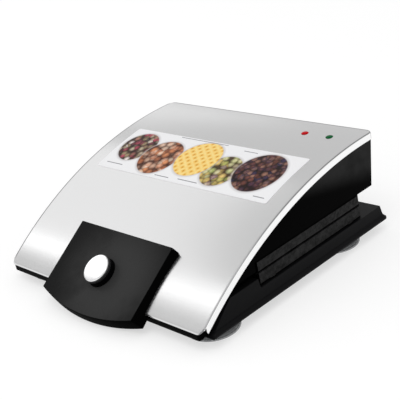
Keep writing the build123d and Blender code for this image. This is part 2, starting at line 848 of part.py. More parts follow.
def waffle_plate():
    """Cast grid plate, face up with its parting face on z = 0: a full-size band over a tub."""
    with BuildPart() as plate:
        with BuildSketch():
            with Locations((0, plate_centre_y)):
                RectangleRounded(plate_width, plate_depth, plate_corner)
        extrude(amount=-band_height)
        with BuildSketch(Plane.XY.offset(-band_height)):
            with Locations((0, plate_centre_y)):
                RectangleRounded(
                    plate_width - 2 * tub_inset_x, plate_depth - 2 * tub_inset_y, plate_corner
                )
        extrude(amount=band_height - tub_depth)
        with BuildSketch():
            with Locations((0, plate_centre_y)):
                with GridLocations(well_pitch, 0, 2, 1):
                    RectangleRounded(well_width, well_length, well_corner)
        extrude(amount=-well_depth, taper=well_draft, mode=Mode.SUBTRACT)
        with BuildSketch(Plane.XY.offset(-well_depth)):
            with Locations((0, plate_centre_y)):
                with GridLocations(well_pitch, 0, 2, 1):
                    with GridLocations(stud_pitch_x, stud_pitch_y, stud_rows, stud_rows):
                        Rectangle(stud_pitch_x - waffle_groove, stud_pitch_y - waffle_groove)
        extrude(amount=waffle_stud_height, taper=waffle_stud_draft)
        # locating lugs on the side edges
        long, tall, out = plate_lug
        with Locations((0, plate_centre_y, -band_height)):
            with GridLocations(plate_width, plate_lug_pitch, 2, 2):
                Box(2 * out, long, tall, align=(Align.CENTER, Align.CENTER, Align.MIN))
        with BuildSketch(Plane.XY.offset(-band_height)):
            with Locations(*plate_screw_points):
                Circle(screw_radius + screw_fit)
        extrude(amount=plate_hole_depth, mode=Mode.SUBTRACT)
    return plate


def mirrored(piece):
    """The same piece turned over about the parting plane, for the lid."""
    with BuildPart() as copy:
        mirror(piece, about=Plane.XY.offset(parting_z))
    return copy


def lifted(piece, height):
    with BuildPart() as copy:
        with Locations((0, 0, height)):
            add(piece)
    return copy


lower_plate = lifted(waffle_plate().part, plate_top_z)
save(lower_plate, "lower_plate")
upper_plate = mirrored(lower_plate.part)
save(upper_plate, "upper_plate")

under_deck = deck_z - base_wall
lower_plate_screws = screws(
    [Plane((x, y, under_deck)) for x, y in plate_screw_points],
    base_wall + plate_seat_gap + plate_hole_depth - screw_tip_gap,
)
save(lower_plate_screws, "lower_plate_screws")
upper_plate_screws = mirrored(lower_plate_screws.part)
save(upper_plate_screws, "upper_plate_screws")

# ------------------------------------------------------------------ heating elements
heater_path = [
    (-heater_lead_x, heater_lead_y),
    (-heater_lead_x, heater_back_y),
    (-heater_half_x, heater_back_y),
    (-heater_half_x, heater_front_y),
    (heater_half_x, heater_front_y),
    (heater_half_x, heater_back_y),
    (heater_lead_x, heater_back_y),
    (heater_lead_x, heater_lead_y),
]
with BuildPart() as lower_heater:
    with BuildLine(Plane.XY.offset(heater_z)):
        FilletPolyline(*heater_path, radius=heater_bend)
    with BuildSketch(Plane(origin=(-heater_lead_x, heater_lead_y, heater_z), z_dir=(0, -1, 0))):
        Circle(heater_radius)
    sweep()
    for side in (-1, 1):
        pin_plane = Plane(origin=(side * heater_lead_x, heater_lead_y, heater_z), z_dir=(0, 1, 0))
        with BuildSketch(pin_plane):
            Circle(cold_pin_radius)
        extrude(amount=cold_pin_length)
save(lower_heater, "lower_heater")
upper_heater = mirrored(lower_heater.part)
save(upper_heater, "upper_heater")

# ------------------------------------------------------------------ reflectors
reflector_half_x = heater_half_x + reflector_margin
reflector_front_y = heater_front_y - reflector_margin
reflector_back_y = heater_back_y + reflector_margin
reflector_middle_y = (reflector_front_y + reflector_back_y) / 2


def reflector(opening_radius):
    """Shallow aluminium tray under a heater, with a turned-up rim."""
    with BuildPart() as tray:
        for inset, z, height, mode in (
            (0, reflector_z, reflector_rim, Mode.ADD),
            (reflector_sheet, reflector_z + reflector_sheet, reflector_rim, Mode.SUBTRACT),
        ):
            with BuildSketch(Plane.XY.offset(z)):
                with Locations((0, reflector_middle_y)):
                    RectangleRounded(
                        2 * (reflector_half_x - inset),
                        reflector_back_y - reflector_front_y - 2 * inset,
                        heater_bend - inset,
                    )
            extrude(amount=height, mode=mode)
        # notches for the heater's two leads
        with Locations(
            (-heater_lead_x, reflector_back_y, reflector_z + reflector_sheet),
            (heater_lead_x, reflector_back_y, reflector_z + reflector_sheet),
        ):
            Box(
                2 * (heater_radius + lead_notch_clear),
                2 * heater_radius,
                2 * reflector_rim,
                align=(Align.CENTER, Align.CENTER, Align.MIN),
                mode=Mode.SUBTRACT,
            )
        if opening_radius:
            with Locations((0, thermostat_y, reflector_z)):
                Cylinder(opening_radius, 4 * reflector_rim, mode=Mode.SUBTRACT)
    return tray


lower_reflector = reflector(0)
save(lower_reflector, "lower_reflector")
upper_reflector = mirrored(reflector(thermostat_radius + thermostat_clear).part)
save(upper_reflector, "upper_reflector")

# ------------------------------------------------------------------ thermostat and thermal fuse
upper_tub_z = 2 * parting_z - (plate_top_z - tub_depth)
with BuildPart() as thermostat:
    with Locations((0, thermostat_y, upper_tub_z + heater_gap)):
        Cylinder(
            thermostat_radius, thermostat_height, align=(Align.CENTER, Align.CENTER, Align.MIN)
        )
        Cylinder(
            thermostat_radius - thermostat_step,
            thermostat_height + thermostat_step,
            align=(Align.CENTER, Align.CENTER, Align.MIN),
        )
        with Locations((0, 0, thermostat_height)):
            with GridLocations(thermostat_radius, 0, 2, 1):
                Box(*tab_size, align=(Align.CENTER, Align.CENTER, Align.MIN))
save(thermostat, "thermostat")

with BuildPart() as thermal_fuse:
    fuse_z = reflector_z + reflector_sheet + heater_gap + fuse_radius
    with BuildSketch(Plane.YZ):
        with Locations((thermostat_y, fuse_z)):
            Circle(fuse_radius)
    extrude(amount=fuse_length / 2, both=True)
    chamfer(thermal_fuse.edges().filter_by(GeomType.CIRCLE), fuse_bevel)
    with BuildSketch(Plane.YZ):
        with Locations((thermostat_y, fuse_z)):
            Circle(fuse_lead)
    extrude(amount=fuse_length, both=True)
save(thermal_fuse, "thermal_fuse")

# ------------------------------------------------------------------ terminal block
with BuildPart() as terminal_block:
    block_length, block_depth, block_tall = block_size
    with Locations((block_x + block_length / 2, block_y, floor_top_z + floor_gap)):
        Box(
            block_length,
            block_depth,
            block_tall,
            align=(Align.CENTER, Align.CENTER, Align.MIN),
        )
    upright = terminal_block.edges().filter_by(Axis.Z)
    fillet(upright, block_corner)
    with BuildSketch(Plane.XZ.offset(-block_y - block_depth / 2)):
        with Locations((block_x + block_length / 2, floor_top_z + floor_gap + block_tall / 2)):
            with GridLocations(block_length / 3, 0, 3, 1):
                Circle(block_wire_radius)
    extrude(amount=block_depth, mode=Mode.SUBTRACT)
    with BuildSketch(Plane.XY.offset(floor_top_z + floor_gap + block_tall)):
        with Locations((block_x + block_length / 2, block_y)):
            with GridLocations(block_length / 3, block_depth / 2, 3, 2):
                Circle(block_screw_radius)
    extrude(amount=-block_tall / 2, mode=Mode.SUBTRACT)
save(terminal_block, "terminal_block")

# ------------------------------------------------------------------ cord inlet and cord clamp
with BuildPart() as cord_inlet:
    with BuildSketch(inlet_plane.offset(inlet_flange_sheet + inlet_seat_gap - inlet_length)):
        Circle(inlet_outer)
    extrude(amount=inlet_length - inlet_flange_sheet / 2)
    with BuildSketch(inlet_plane.offset(inlet_seat_gap)):
        Circle(inlet_flange)
    extrude(amount=inlet_flange_sheet, taper=base_flare)
    with BuildSketch(inlet_plane.offset(-base_wall - inlet_seat_gap)):
        Circle(inlet_outer + inlet_barb)
    extrude(amount=-inlet_barb_length, taper=base_flare)
    with BuildSketch(inlet_plane):
        Circle(inlet_bore)
    extrude(amount=2 * inlet_length, both=True, mode=Mode.SUBTRACT)
save(cord_inlet, "cord_inlet")

with BuildPart() as cord_clamp:
    clamp_length, clamp_depth, clamp_tall = clamp_size
    with Locations((inlet_x, clamp_y, clamp_top_z)):
        Box(clamp_length, clamp_depth, clamp_tall, align=(Align.CENTER, Align.CENTER, Align.MAX))
    fillet(cord_clamp.edges().filter_by(Axis.Z), clamp_depth / 4)
    with BuildSketch(Plane.XZ.offset(-clamp_y)):
        with Locations((inlet_x, clamp_top_z + clamp_groove_up)):
            Circle(clamp_groove)
    extrude(amount=clamp_depth, both=True, mode=Mode.SUBTRACT)
    with BuildSketch(Plane.XY.offset(clamp_top_z)):
        with Locations(*clamp_screw_points):
            Circle(screw_radius + screw_fit)
    extrude(amount=-clamp_tall, mode=Mode.SUBTRACT)
save(cord_clamp, "cord_clamp")
clamp_seats = [Plane((x, y, clamp_top_z - clamp_tall)) for x, y in clamp_screw_points]
cord_clamp_screws = screws(clamp_seats, clamp_tall + clamp_screw_length - screw_tip_gap)
save(cord_clamp_screws, "cord_clamp_screws")

# ------------------------------------------------------------------ hinge pins and their clips
ear_out = hinge_knuckle / 2 + hinge_side_gap + hinge_ear
pin_length = 2 * ear_out + 2 * clip_sheet + 2 * pin_side_gap


def hinge_pin(side):
    """Plain pin with a flat head on the outside of the appliance."""
    seat = side * (hinge_x + ear_out + pin_side_gap)
    with BuildPart() as pin:
        with BuildSketch(Plane(origin=(seat, hinge_y, hinge_z), z_dir=(side, 0, 0))):
            Circle(pin_head_radius)
        extrude(amount=pin_head)
        with BuildSketch(Plane(origin=(seat, hinge_y, hinge_z), z_dir=(-side, 0, 0))):
            Circle(hinge_pin_radius)
        extrude(amount=pin_length)
        ends = pin.edges().filter_by(GeomType.CIRCLE).sort_by(Axis.X)
        chamfer([ends[0], ends[-1]], pin_head / 4)
    return pin.part


def hinge_clip(side):
    """Push-on ring at the inner end of a hinge pin."""
    place = side * (hinge_x - ear_out - pin_side_gap)
    with BuildPart() as clip:
        with BuildSketch(Plane(origin=(place, hinge_y, hinge_z), z_dir=(-side, 0, 0))):
            Circle(clip_radius)
            Circle(hinge_pin_radius + nut_bore_gap, mode=Mode.SUBTRACT)
            with Locations((clip_radius, 0)):
                Rectangle(2 * clip_radius, hinge_pin_radius, mode=Mode.SUBTRACT)
        extrude(amount=clip_sheet)
    return clip.part


with BuildPart() as hinge_pins:
    for side in (-1, 1):
        add(hinge_pin(side))
save(hinge_pins, "hinge_pins")
with BuildPart() as hinge_clips:
    for side in (-1, 1):
        add(hinge_clip(side))
save(hinge_clips, "hinge_clips")

# ------------------------------------------------------------------ nuts on the cover's studs
with BuildPart() as cover_nuts:
    for x, y in stud_points:
        with BuildSketch(Plane.XY.offset(dome_z(skin_radius, y - nut_radius) - nut_gap)):
            with Locations((x, y)):
                Circle(nut_radius)
                Circle(stud_radius + nut_bore_gap, mode=Mode.SUBTRACT)
        extrude(amount=-nut_sheet)
save(cover_nuts, "cover_nuts")

# ------------------------------------------------------------------ label
with BuildPart() as label_panel:
    with BuildSketch():
        with Locations((0, (label_front_y + label_rear_y) / 2)):
            RectangleRounded(2 * label_half_width, label_rear_y - label_front_y, label_corner)
    extrude(amount=2 * cover_crest_z)
    label_radius = cover_radius + label_gap
    add(
        under_dome(label_radius + label_sheet, label_front_y - 1, label_rear_y + 1),
        mode=Mode.INTERSECT,
    )
    add(under_dome(label_radius, label_front_y - 1, label_rear_y + 1), mode=Mode.SUBTRACT)
save(label_panel, "label_panel")

# ------------------------------------------------------------------ lamps
lens_seat_z = dome_z(cover_radius, lens_y + lens_radius) + lens_seat_gap
stem_low_z = dome_z(skin_radius, lens_y) - lens_stem_below
sleeve_top_z = dome_z(skin_radius, lens_y - lens_stem_radius - lamp_sleeve_wall) - nut_gap


def lens(x):
    """Domed indicator lens with a clear stem that goes through the cover and the moulding."""
    with BuildPart() as piece:
        with Locations((x, lens_y, stem_low_z)):
            Cylinder(
                lens_stem_radius,
                lens_seat_z - stem_low_z,
                align=(Align.CENTER, Align.CENTER, Align.MIN),
            )
        with Locations((x, lens_y, lens_seat_z)):
            Cylinder(lens_radius, lens_proud, align=(Align.CENTER, Align.CENTER, Align.MIN))
        fillet(piece.edges().filter_by(GeomType.CIRCLE).sort_by(Axis.Z)[-1], lens_edge)
    return piece


power_lens = lens(power_lens_x)
save(power_lens, "power_lens")
ready_lens = lens(ready_lens_x)
save(ready_lens, "ready_lens")

with BuildPart() as lamp_sleeves:
    with BuildSketch(Plane.XY.offset(sleeve_top_z)):
        with Locations((power_lens_x, lens_y), (ready_lens_x, lens_y)):
            Circle(lens_stem_radius + lamp_fit + lamp_sleeve_wall)
            Circle(lens_stem_radius + lamp_fit, mode=Mode.SUBTRACT)
    extrude(amount=-lamp_sleeve_length)
save(lamp_sleeves, "lamp_sleeves")

with BuildPart() as neon_lamps:
    for x in (power_lens_x, ready_lens_x):
        with Locations((x, lens_y, stem_low_z - lamp_gap)):
            Cylinder(lamp_radius, lamp_length, align=(Align.CENTER, Align.CENTER, Align.MAX))
    fillet(neon_lamps.edges().filter_by(GeomType.CIRCLE).group_by(Axis.Z)[-1], lamp_end)
save(neon_lamps, "neon_lamps")

# ------------------------------------------------------------------ handle
handle_step_y = cover_front_y - handle_step_gap


def handle_outline(inset, depth, flare, tip_flare, corner):
    """Outline of the handle at a depth below its face: square behind, bowed in front."""
    half = handle_half_width + flare - inset
    side_end = -handle_side_length + inset
    tip = -handle_tip_length - tip_flare + inset
    with BuildSketch(handle_plane.offset(-depth)) as outline:
        with BuildLine():
            Polyline((-half, side_end), (-half, -inset), (half, -inset), (half, side_end))
            ThreePointArc((half, side_end), (0, tip), (-half, side_end))
        make_face()
        fillet(outline.vertices().group_by(Axis.Y)[-1], corner)
    return outline.sketch


def handle_form(inset, top, bottom):
    """Body of the handle between two depths; its sides spread downwards."""
    share = bottom / handle_depth
    with BuildPart() as form:
        add(handle_outline(inset, top, handle_side_flare * top / handle_depth, 0, handle_top_corner))
        add(
            handle_outline(
                inset,
                bottom,
                handle_side_flare * share,
                handle_tip_flare * share,
                handle_bottom_corner,
            )
        )
        loft()
    return form.part


def above_step(form, step_y):
    """The piece of a handle form in front of this place."""
    with BuildPart() as kept:
        add(form)
        with Locations((0, step_y, 0)):
            Box(far, far, far, align=(Align.CENTER, Align.MAX, Align.CENTER), mode=Mode.INTERSECT)
    return kept.part


button_well = button_travel + button_well_floor_gap + button_skirt
boss_tip = handle_face - screw_tip_gap
with BuildPart() as handle_inside:
    # wall behind the overhang, bosses and the button's well
    with Locations((0, handle_step_y, 0)):
        Box(far, handle_wall, far, align=(Align.CENTER, Align.MAX, Align.CENTER))
    with BuildSketch(handle_plane):
        with Locations(*handle_screw_points):
            Circle(handle_boss_radius)
        with Locations((0, -button_along)):
            Circle(button_well_radius + guide_wall)
    extrude(amount=-2 * handle_depth)
    add(handle_form(handle_wall / 2, handle_edge, handle_depth), mode=Mode.INTERSECT)

with BuildPart() as handle:
    add(handle_form(0, 0, handle_depth))
    face_rim = handle.faces().sort_by(Axis(handle_origin, face_normal))[-1].outer_wire()
    fillet(face_rim.edges(), handle_edge)
    add(handle_form(handle_wall, handle_face, handle_depth + 1), mode=Mode.SUBTRACT)
    add(handle_inside.part)
    with BuildSketch(button_plane):
        Circle(button_well_radius)
    extrude(amount=-button_well, mode=Mode.SUBTRACT)
    with BuildSketch(button_plane):
        Circle(button_stem_radius + button_fit)
    extrude(amount=-2 * handle_depth, mode=Mode.SUBTRACT)
    with BuildSketch(handle_plane.offset(-handle_face)):
        with Locations(*handle_screw_points):
            Circle(screw_radius + screw_fit)
    extrude(amount=-2 * handle_depth, mode=Mode.SUBTRACT)
    seat_radius = cover_radius + handle_seat_gap
    add(under_dome(seat_radius, handle_step_y, handle_top_y + handle_depth), mode=Mode.SUBTRACT)
save(handle, "handle")

with BuildPart() as handle_back:
    back_inset = handle_wall + back_plate_gap
    back_form = handle_form(back_inset, handle_depth - back_plate, handle_depth)
    add(above_step(back_form, handle_step_y - back_inset))
save(handle_back, "handle_back")

handle_screw_seats = []
for x, y in handle_screw_points:
    seat_depth = dome_depth(skin_radius, -y) + screw_seat_gap
    seat_origin = handle_origin - down_slope * y - face_normal * seat_depth + Vector(x, 0, 0)
    handle_screw_seats.append(Plane(origin=seat_origin, x_dir=(1, 0, 0), z_dir=face_normal))
handle_screw_length = dome_depth(skin_radius, handle_screw_top) + screw_seat_gap - boss_tip - screw_fit
handle_screws = screws(handle_screw_seats, handle_screw_length - handle_screw_gap)
save(handle_screws, "handle_screws")

# ------------------------------------------------------------------ button
knob_top = button_height - button_cap_dome - button_cap_sheet / 2
with BuildPart() as button_knob:
    with BuildSketch(button_plane.offset(-button_skirt)):
        Circle(button_radius - button_ridge)
    extrude(amount=button_skirt + knob_top)
    with BuildSketch(button_plane.offset(knob_top)):
        Circle(button_radius)
    extrude(amount=-button_collar)
    # ridges round the lower part of the ring
    with BuildSketch(button_plane.offset(-button_skirt)):
        with PolarLocations(button_radius - button_ridge, button_ridges):
            Circle(button_ridge)
    extrude(amount=button_skirt + knob_top - button_collar / 2)
    with BuildSketch(button_plane.offset(-button_skirt)):
        Circle(button_hollow_radius)
        Circle(button_stem_radius + guide_wall, mode=Mode.SUBTRACT)
    extrude(amount=knob_top + button_skirt - button_roof, mode=Mode.SUBTRACT)
    # seat for the cap
    with BuildSketch(button_plane.offset(knob_top)):
        Circle(button_cap_radius + lamp_fit)
    extrude(amount=-button_cap_sheet / 2, mode=Mode.SUBTRACT)
    with BuildSketch(button_plane.offset(-stem_end)):
        Circle(button_stem_radius)
    extrude(amount=stem_end)
    tip = button_knob.faces().sort_by(Axis(button_centre, face_normal))[0]
    fillet(tip.edges(), stem_tip)
save(button_knob, "button_knob")

cap_ball = ((button_cap_radius) ** 2 + button_cap_dome**2) / (2 * button_cap_dome)
with BuildPart() as button_cap:
    with BuildSketch(button_plane.offset(knob_top - button_cap_sheet / 2 + label_gap)):
        Circle(button_cap_radius)
    extrude(amount=button_cap_sheet + button_cap_dome)
    with Locations(button_centre + face_normal * (button_height - cap_ball)):
        Sphere(cap_ball, mode=Mode.INTERSECT)
save(button_cap, "button_cap")

with BuildPart() as button_clip:
    clip_depth = dome_depth(skin_radius, button_along + button_clip_radius) + button_clip_gap
    with BuildSketch(button_plane.offset(-clip_depth)):
        Circle(button_clip_radius)
        Circle(button_stem_radius + nut_bore_gap, mode=Mode.SUBTRACT)
    extrude(amount=-button_clip_sheet)
save(button_clip, "button_clip")

# ------------------------------------------------------------------ latch
latch_side = Plane(origin=(0, latch_pivot.Y, latch_pivot.Z), x_dir=(0, 1, 0), z_dir=(1, 0, 0))
with BuildPart() as latch_hook:
    with BuildSketch(latch_side) as hook_side:
        Circle(latch_eye)
        # arm under the button's stem
        with Locations(Location((0, 0), handle_slope)):
            Rectangle(
                latch_arm + latch_arm_end, latch_thick, align=(Align.MAX, Align.CENTER)
            )
        # leg and toe that reach under the catch
        with Locations((latch_leg_y - latch_pivot.Y, latch_toe_z - latch_pivot.Z)):
            Rectangle(latch_leg, latch_pivot.Z - latch_toe_z, align=(Align.CENTER, Align.MIN))
            Rectangle(
                latch_leg_y - latch_toe_y, latch_toe_height, align=(Align.MAX, Align.MIN)
            )
        # tail under the spring
        with Locations((0, latch_tail_low)):
            Rectangle(latch_tail, latch_thick, align=(Align.MIN, Align.MIN))
    extrude(amount=latch_width / 2, both=True)
    toe = latch_hook.edges().filter_by(Axis.X).sort_by(Axis.Z)[:2].sort_by(Axis.Y)[0]
    chamfer(toe, latch_toe_height / 2)
    with BuildSketch(latch_side):
        Circle(latch_pin_radius + latch_pin_fit)
    extrude(amount=latch_width, both=True, mode=Mode.SUBTRACT)
save(latch_hook, "latch_hook")

with BuildPart() as latch_pin:
    pin_half = latch_width / 2 + latch_ear_gap + latch_ear + pin_side_gap
    with BuildSketch(latch_side):
        Circle(latch_pin_radius)
    extrude(amount=pin_half + pin_head, both=True)
    for side in (-1, 1):
        with BuildSketch(latch_side.offset(side * pin_half)):
            Circle(latch_pin_radius + latch_pin_rim)
        extrude(amount=side * pin_head)
save(latch_pin, "latch_pin")

with BuildPart() as latch_spring:
    coil_height = spring_length - 2 * spring_wire
    with BuildLine(Plane((0, spring_y, spring_low_z + spring_wire))):
        coil = Helix(
            pitch=coil_height / spring_turns,
            height=coil_height,
            radius=spring_radius,
        )
    with BuildSketch(Plane(origin=coil @ 0, z_dir=coil % 0)):
        Circle(spring_wire)
    sweep(path=coil, is_frenet=True)
save(latch_spring, "latch_spring")

with BuildPart() as latch_catch:
    with Locations((0, catch_y, catch_z)):
        Box(
            2 * catch_half_width,
            catch_strip,
            catch_sheet,
            align=(Align.CENTER, Align.CENTER, Align.MIN),
        )
    fillet(latch_catch.edges().filter_by(Axis.Z), catch_strip / 4)
    with BuildSketch(Plane.XY.offset(catch_z)):
        with Locations(*catch_screw_points):
            Circle(screw_radius + screw_fit)
    extrude(amount=catch_sheet, mode=Mode.SUBTRACT)
save(latch_catch, "latch_catch")
catch_seats = [Plane((x, y, catch_z)) for x, y in catch_screw_points]
catch_screws = screws(catch_seats, catch_sheet + catch_screw_length - screw_tip_gap)
save(catch_screws, "catch_screws")
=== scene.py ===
import bpy
import bmesh
import numpy as np
from math import cos, pi, radians, sin
from mathutils import Matrix


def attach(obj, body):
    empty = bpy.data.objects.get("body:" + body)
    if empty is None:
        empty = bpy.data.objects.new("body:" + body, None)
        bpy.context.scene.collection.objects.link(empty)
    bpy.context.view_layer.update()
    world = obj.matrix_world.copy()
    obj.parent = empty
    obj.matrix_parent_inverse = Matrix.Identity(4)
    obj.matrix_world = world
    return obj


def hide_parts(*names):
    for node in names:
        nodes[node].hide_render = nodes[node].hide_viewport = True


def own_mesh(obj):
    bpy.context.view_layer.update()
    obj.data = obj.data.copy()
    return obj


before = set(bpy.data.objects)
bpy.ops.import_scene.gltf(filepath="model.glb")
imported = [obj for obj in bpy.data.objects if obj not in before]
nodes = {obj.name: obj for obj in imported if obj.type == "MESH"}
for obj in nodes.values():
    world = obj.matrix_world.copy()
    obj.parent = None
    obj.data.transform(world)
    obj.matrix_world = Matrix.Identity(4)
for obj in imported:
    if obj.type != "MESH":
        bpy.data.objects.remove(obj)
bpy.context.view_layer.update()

# ---------------------------------------------------------------- base moulding
# The base is one black injection moulding: sloping walls, a low rear deck, a raised front deck
# and a thin rim round its foot. Its outer faces have a fine spark-eroded texture.
rounded_from = 32.0  # edges sharper than this, in degrees, are rounded
grain_depth = 0.00005  # how deep the grain is shaded, in metres


def feed(tree, socket, value):
    """Links an output to an input socket, or sets a number, vector or colour on it."""
    if isinstance(value, bpy.types.NodeSocket):
        tree.links.new(value, socket)
    else:
        socket.default_value = value


def node_of(tree, kind, **values):
    """Adds a node. Each value goes to the input of that name, or else to that setting."""
    node = tree.nodes.new(kind)
    for key, value in values.items():
        name = key.replace("_", " ")
        if name in node.inputs:
            feed(tree, node.inputs[name], value)
        else:
            setattr(node, key, value)
    return node


def calculate(tree, operation, *values, kind="ShaderNodeMath"):
    """Result of a Math or Vector Math node on numbers, vectors or outputs."""
    node = node_of(tree, kind, operation=operation)
    for socket, value in zip(node.inputs, values):
        feed(tree, socket, value)
    return node.outputs["Value"]


def ranged(tree, value, start, end, low=0.0, high=1.0, step="LINEAR"):
    """Carries a value from the range start to end over to the range low to high."""
    return node_of(tree, "ShaderNodeMapRange", interpolation_type=step, Value=value,
                   From_Min=start, From_Max=end, To_Min=low, To_Max=high).outputs["Result"]


def own_place(tree):
    """A piece's own coordinates, in metres."""
    return tree.nodes.new("ShaderNodeTexCoord").outputs["Object"]


def noise(tree, place, **values):
    """Height of a noise texture over a place."""
    return node_of(tree, "ShaderNodeTexNoise", Vector=place, **values).outputs["Fac"]


def over(tree, under, top, mask, blend="MIX"):
    """Colour top laid over colour under where the mask is 1."""
    return node_of(tree, "ShaderNodeMix", data_type="RGBA", blend_type=blend,
                   A=under, B=top, Factor=mask).outputs["Result"]


def new_group(name, inputs, outputs):
    """Empty shader group with number inputs and outputs; returns tree, inlet and outlet."""
    tree = bpy.data.node_groups.new(name, "ShaderNodeTree")
    for label, value in inputs.items():
        socket = tree.interface.new_socket(label, in_out="INPUT", socket_type="NodeSocketFloat")
        socket.default_value = value
    for label in outputs:
        tree.interface.new_socket(label, in_out="OUTPUT", socket_type="NodeSocketFloat")
    return tree, tree.nodes.new("NodeGroupInput"), tree.nodes.new("NodeGroupOutput")


def moulded_grain():
    """Texture of a spark-eroded mould: fine noise for height, broad noise for handling marks.
    Roughness = base roughness + spread * (broad noise - 0.5)."""
    tree, inlet, outlet = new_group(
        "moulded grain", {"Grain": 2600.0, "Roughness": 0.45, "Spread": 0.15},
        ("Roughness", "Height"))
    place = own_place(tree)
    fine = noise(tree, place, Scale=inlet.outputs["Grain"], Detail=3.0, Roughness=0.6)
    broad = noise(tree, place, Scale=38.0, Detail=5.0, Roughness=0.62)
    marks = calculate(tree, "SUBTRACT", broad, 0.5)
    rough = calculate(
        tree, "MULTIPLY_ADD", marks, inlet.outputs["Spread"], inlet.outputs["Roughness"])
    tree.links.new(rough, outlet.inputs["Roughness"])
    tree.links.new(fine, outlet.inputs["Height"])
    return tree


grain_group = moulded_grain()


def finish(name, colour, roughness=0.5, metallic=0.0, **sockets):
    """New material whose constants sit on the Principled shader's own sockets. Returns it, its
    node tree and its shader."""
    made = bpy.data.materials.new(name)
    made.use_nodes = True
    shader = made.node_tree.nodes["Principled BSDF"]
    values = {"Base_Color": (*colour, 1), "Roughness": roughness, "Metallic": metallic, **sockets}
    for key, value in values.items():
        shader.inputs[key.replace("_", " ")].default_value = value
    return made, made.node_tree, shader


def bumped(tree, shader, height, strength, distance):
    """Feeds a height through a Bump node into the shader's normal."""
    bump = node_of(tree, "ShaderNodeBump", Strength=strength, Distance=distance, Height=height)
    tree.links.new(bump.outputs["Normal"], shader.inputs["Normal"])


def moulded_plastic(name, colour, roughness, spread, grain, bump, cloud=1.0, where=None,
                    **sockets):
    """Plastic with the mould's grain and faint handling marks. where is a function that adds a
    mask to the tree; within that mask, broad clouds of painted highlight are up to cloud times as
    light as the colour."""
    made, tree, shader = finish(name, colour, **sockets)
    if where:
        place = own_place(tree)
        highlight_from, highlight_full = 0.2, 0.5
        clouds = noise(tree, place, Scale=15.0, Detail=4.0, Roughness=0.6)
        highlight = ranged(tree, clouds, highlight_from, highlight_full)
        mask = calculate(tree, "MULTIPLY", highlight, where(tree, place))
        # painted highlight: the colour made up to cloud times as light where the mask is high
        lighter = (*(cloud * part for part in colour), 1)
        tree.links.new(over(tree, (*colour, 1), lighter, mask), shader.inputs["Base Color"])
    group = node_of(tree, "ShaderNodeGroup", node_tree=grain_group,
                    Grain=grain, Roughness=roughness, Spread=spread)
    tree.links.new(group.outputs["Roughness"], shader.inputs["Roughness"])
    bumped(tree, shader, group.outputs["Height"], bump, grain_depth)
    return made


def smoothed(mesh, sharp):
    """Shades a mesh smooth, but for edges sharper than an angle in degrees."""
    mesh.shade_smooth()
    mesh.set_sharp_from_angle(angle=radians(sharp))


def placed(name, data):
    """Puts a mesh, lamp or camera into the scene as an object."""
    item = bpy.data.objects.new(name, data)
    bpy.context.scene.collection.objects.link(item)
    return item


def rounded_copy(node, edge, segments=3, cuts=(), merge_flat=True):
    """Copy of a CAD node with its triangles merged and its sharp edges rounded by a bevel.
    Its faces are also cut along the planes in cuts, (point, normal), so that parts of them can
    differ in material."""
    same_point, same_plane = 1e-6, radians(0.4)
    mesh = nodes[node].data.copy()
    work = bmesh.new()
    work.from_mesh(mesh)
    bmesh.ops.remove_doubles(work, verts=work.verts, dist=same_point)
    if merge_flat:
        bmesh.ops.dissolve_limit(
            work, angle_limit=same_plane, verts=work.verts, edges=work.edges)
    for point, normal in cuts:
        bmesh.ops.bisect_plane(work, geom=work.verts[:] + work.edges[:] + work.faces[:],
                               plane_co=point, plane_no=normal)
    work.to_mesh(mesh)
    work.free()
    smoothed(mesh, rounded_from)
    piece = placed(node + "_piece", mesh)
    bevel = piece.modifiers.new("rounding", "BEVEL")
    bevel.width = edge
    bevel.segments = segments
    bevel.limit_method = "ANGLE"
    bevel.angle_limit = radians(rounded_from)
    bevel.use_clamp_overlap = True
    bevel.harden_normals = True
    return piece


def settle(piece, body, material, replaced):
    """Gives a piece its material, its body and the CAD node that it stands for."""
    piece.data.materials.clear()
    piece.data.materials.append(material)
    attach(piece, body)
    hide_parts(replaced)


def dress(material, *names):
    """Puts a material on CAD nodes that keep their own meshes."""
    for name in names:
        node = nodes[name]
        for holder in node.material_slots:
            holder.material = material
        if not node.material_slots:
            node.data.materials.append(material)


base_plastic = moulded_plastic("black base plastic", (0.0045, 0.0045, 0.005), roughness=0.4,
                               spread=0.14, grain=2400.0, bump=0.3, Specular_IOR_Level=0.07)
base_edge = 0.0005
settle(rounded_copy("base_shell", base_edge), "base", base_plastic,
       "base_shell")

# ---------------------------------------------------------------- floor, inlet and fasteners
# A flat plastic floor with vent slots closes the base from below, and a bush of the same plastic
# lets the cord in. The screws, pins, clips and nuts of the whole appliance are zinc-plated steel.
dress(base_plastic, "bottom_cover", "cord_inlet")


def cloudy_metal(name, colour, roughness):
    """Metal with a dull skin, such as zinc plate: its roughness varies in small clouds."""
    made, tree, shader = finish(name, colour, roughness, 1.0)
    smoother, rougher = 0.1, 0.12
    cloud = noise(tree, own_place(tree), Scale=420.0, Detail=4.0)
    rough = ranged(tree, cloud, 0.0, 1.0, roughness - smoother, roughness + rougher)
    tree.links.new(rough, shader.inputs["Roughness"])
    return made


zinc = cloudy_metal("zinc plate", (0.62, 0.62, 0.6), 0.34)
dress(zinc, "floor_screws", "lower_plate_screws", "upper_plate_screws", "cord_clamp_screws",
      "handle_screws", "catch_screws", "latch_catch", "cover_nuts", "hinge_pins", "hinge_clips",
      "button_clip", "latch_pin")

# ---------------------------------------------------------------- suction feet
# Each foot is a cup of clear grey silicone: a thick neck that spreads to a soft, thin lip with
# a bead on its edge. A barbed stem on top is pushed into a hole of the base's floor.
millimetre = 0.001
pole = 0.02  # radius where a profile meets its axis; the points there are merged


